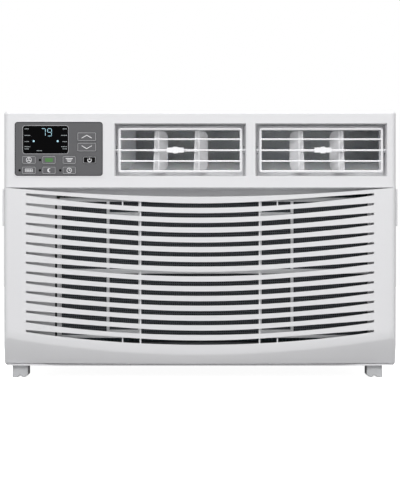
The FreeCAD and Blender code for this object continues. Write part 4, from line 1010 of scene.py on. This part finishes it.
class AIRCON_OT_cabinet(bpy.types.Operator):
    """Finish the cabinet with its pressed hoods, the base pan and the rear guard"""
    bl_idname = "aircon.cabinet"
    bl_label = "Cabinet"

    def execute(self, context):
        for node, width in (("outer_cabinet", 0.3), ("base_pan", 0.3), ("rear_guard", 0.5)):
            softened(node, width, smooth=False)
        softened("cord_gland", 0.6)
        softened("cabinet_screws", 0.5)
        bm = bmesh.new()
        for side in (-1, 1):
            for y in SIDE_VENTS_Y:
                for i in range(SIDE_VENT_ROWS):
                    z = SIDE_VENT_LOW_Z + SIDE_VENT_PITCH * i
                    add_hood(bm, Y_AXIS, side * X_AXIS, Z_AXIS,
                             Vector((side * CABINET_HALF, y, z)), 70, 3.4, 4.2)
        for x in TOP_VENTS_X:
            for i in range(TOP_VENT_ROWS):
                y = TOP_VENT_FRONT_Y + TOP_VENT_PITCH * i
                add_hood(bm, X_AXIS, Z_AXIS, Y_AXIS, Vector((x, y, CABINET_TOP)), 106, 3.2, 4.2)
        bmesh.ops.recalc_face_normals(bm, faces=bm.faces)
        hoods = settle(bm, "cabinet_hoods", "painted_steel", "housing")
        return {"FINISHED"}


INSIDE_ROUNDING = {"filter_frame": 0.5, "compressor_shell": 0.8, "fan_motor": 1.0,
                   "blower_orifice": 0.3, "control_box": 0.3, "run_capacitor": 0.8}


class AIRCON_OT_inside(bpy.types.Operator):
    """Finish the filter, the blower and the other inner pieces"""
    bl_idname = "aircon.inside"
    bl_label = "Inside"

    def execute(self, context):
        for node, item in frame["nodes"].items():
            item.data.materials.clear()
            item.data.materials.append(finish_of(node))
        for node, width in INSIDE_ROUNDING.items():
            softened(node, width)
        # A black strip beside the filter frame paints the shadow of the gap between the plate and
        # the filter.
        low, high = millimetres("filter_frame")
        bm = bmesh.new()
        add_block(bm, (low.x - 7.4, low.x - 4.2), (-292.9, -292.1), (low.z - 20, high.z - 6))
        gap_shadow_strip = settle(bm, "painted_shadow_strip", "painted_gap_shadow", "housing", smooth=False)
        return {"FINISHED"}


# ---- stage -------------------------------------------------------------------------------

def add_light(name, place, size, power):
    """Adds a soft white light that points at the unit."""
    light = bpy.data.lights.new(name, "AREA")
    light.shape = "RECTANGLE"
    light.size = size[0]
    light.size_y = size[1]
    light.energy = power
    lamp = bpy.data.objects.new(name, light)
    lamp.location = place
    lamp.rotation_euler = (Vector((0, 0, 0.25)) - Vector(place)).to_track_quat("-Z", "Y").to_euler()
    bpy.context.scene.collection.objects.link(lamp)


class AIRCON_OT_stage(bpy.types.Operator):
    """Set the pale floor, the soft lights and the camera"""
    bl_idname = "aircon.stage"
    bl_label = "Stage"

    def execute(self, context):
        sizes = context.scene.aircon_stage
        bm = bmesh.new()
        bmesh.ops.create_circle(bm, cap_ends=True, segments=64, radius=9.0)
        floor = settle(bm, "studio_floor", studio_floor(), None)
        world = bpy.data.worlds.new("Studio")
        world.use_nodes = True
        tree = world.node_tree
        light = tree.nodes["Background"]
        light.inputs["Color"].default_value = (1, 1, 1, 1)
        light.inputs["Strength"].default_value = sizes.room_light
        seen = add_node(tree, "ShaderNodeBackground", {"Color": (1, 1, 1, 1), "Strength": 1.0})
        ray = add_node(tree, "ShaderNodeLightPath").outputs["Is Camera Ray"]
        both = add_node(tree, "ShaderNodeMixShader", {"Fac": ray})
        tree.links.new(light.outputs[0], both.inputs[1])
        tree.links.new(seen.outputs[0], both.inputs[2])
        tree.links.new(both.outputs[0], tree.nodes["World Output"].inputs["Surface"])
        context.scene.world = world
        context.scene.view_settings.view_transform = "Standard"
        add_light("Overhead softbox", (0.2, -0.8, 2.6), (2.4, 2.0), 42)
        add_light("Front softbox", (-0.5, -2.7, 2.3), (2.6, 1.2), 52)
        add_light("Fill beside the camera", (1.3, -4.4, -0.1), (1.0, 0.8), 20)
        camera_data = bpy.data.cameras.new("Camera")
        camera_data.sensor_width = 36.0
        camera_data.lens = 36.0 * sizes.distance / sizes.span
        camera_data.clip_end = 50
        camera = bpy.data.objects.new("Camera", camera_data)
        face_y = PANEL_FACE_Y * MM
        camera.location = (0, face_y - sizes.distance, sizes.height)
        camera.rotation_euler = (math.pi / 2, 0, 0)
        context.scene.collection.objects.link(camera)
        context.scene.camera = camera
        return {"FINISHED"}


class AIRCON_OT_finishes(bpy.types.Operator):
    """Make every finish"""
    bl_idname = "aircon.finishes"
    bl_label = "Finishes"

    def execute(self, context):
        FINISHES.update(make_finishes(context.scene.aircon_colours))
        return {"FINISHED"}


class AIRCON_PT_panel(bpy.types.Panel):
    """Lists the steps that build the unit"""
    bl_label = "Window air conditioner"
    bl_idname = "AIRCON_PT_panel"
    bl_space_type = "VIEW_3D"
    bl_region_type = "UI"
    bl_category = "Air conditioner"

    def draw(self, context):
        for step in STEPS:
            self.layout.operator(step.bl_idname)
        for group in (context.scene.aircon_grille, context.scene.aircon_colours,
                      context.scene.aircon_stage):
            for name in group.__annotations__:
                self.layout.prop(group, name)


GROUPS = {"aircon_grille": GrilleSizes, "aircon_colours": FinishColours,
          "aircon_stage": StageSizes}
STEPS = (AIRCON_OT_finishes, AIRCON_OT_inside, AIRCON_OT_grille, AIRCON_OT_front,
         AIRCON_OT_prints, AIRCON_OT_louvers, AIRCON_OT_cabinet, AIRCON_OT_stage)


def register():
    for group in GROUPS.values():
        bpy.utils.register_class(group)
    for name, group in GROUPS.items():
        setattr(bpy.types.Scene, name, PointerProperty(type=group))
    for step in STEPS + (AIRCON_PT_panel,):
        bpy.utils.register_class(step)


def unregister():
    for step in (AIRCON_PT_panel,) + STEPS:
        bpy.utils.unregister_class(step)
    for name, group in GROUPS.items():
        delattr(bpy.types.Scene, name)
        bpy.utils.unregister_class(group)


def main():
    register()
    bpy.ops.aircon.finishes()
    bpy.ops.aircon.inside()
    bpy.ops.aircon.grille()
    bpy.ops.aircon.front()
    bpy.ops.aircon.prints()
    bpy.ops.aircon.louvers()
    bpy.ops.aircon.cabinet()
    bpy.ops.aircon.stage()


if __name__ == "__main__":
    main()
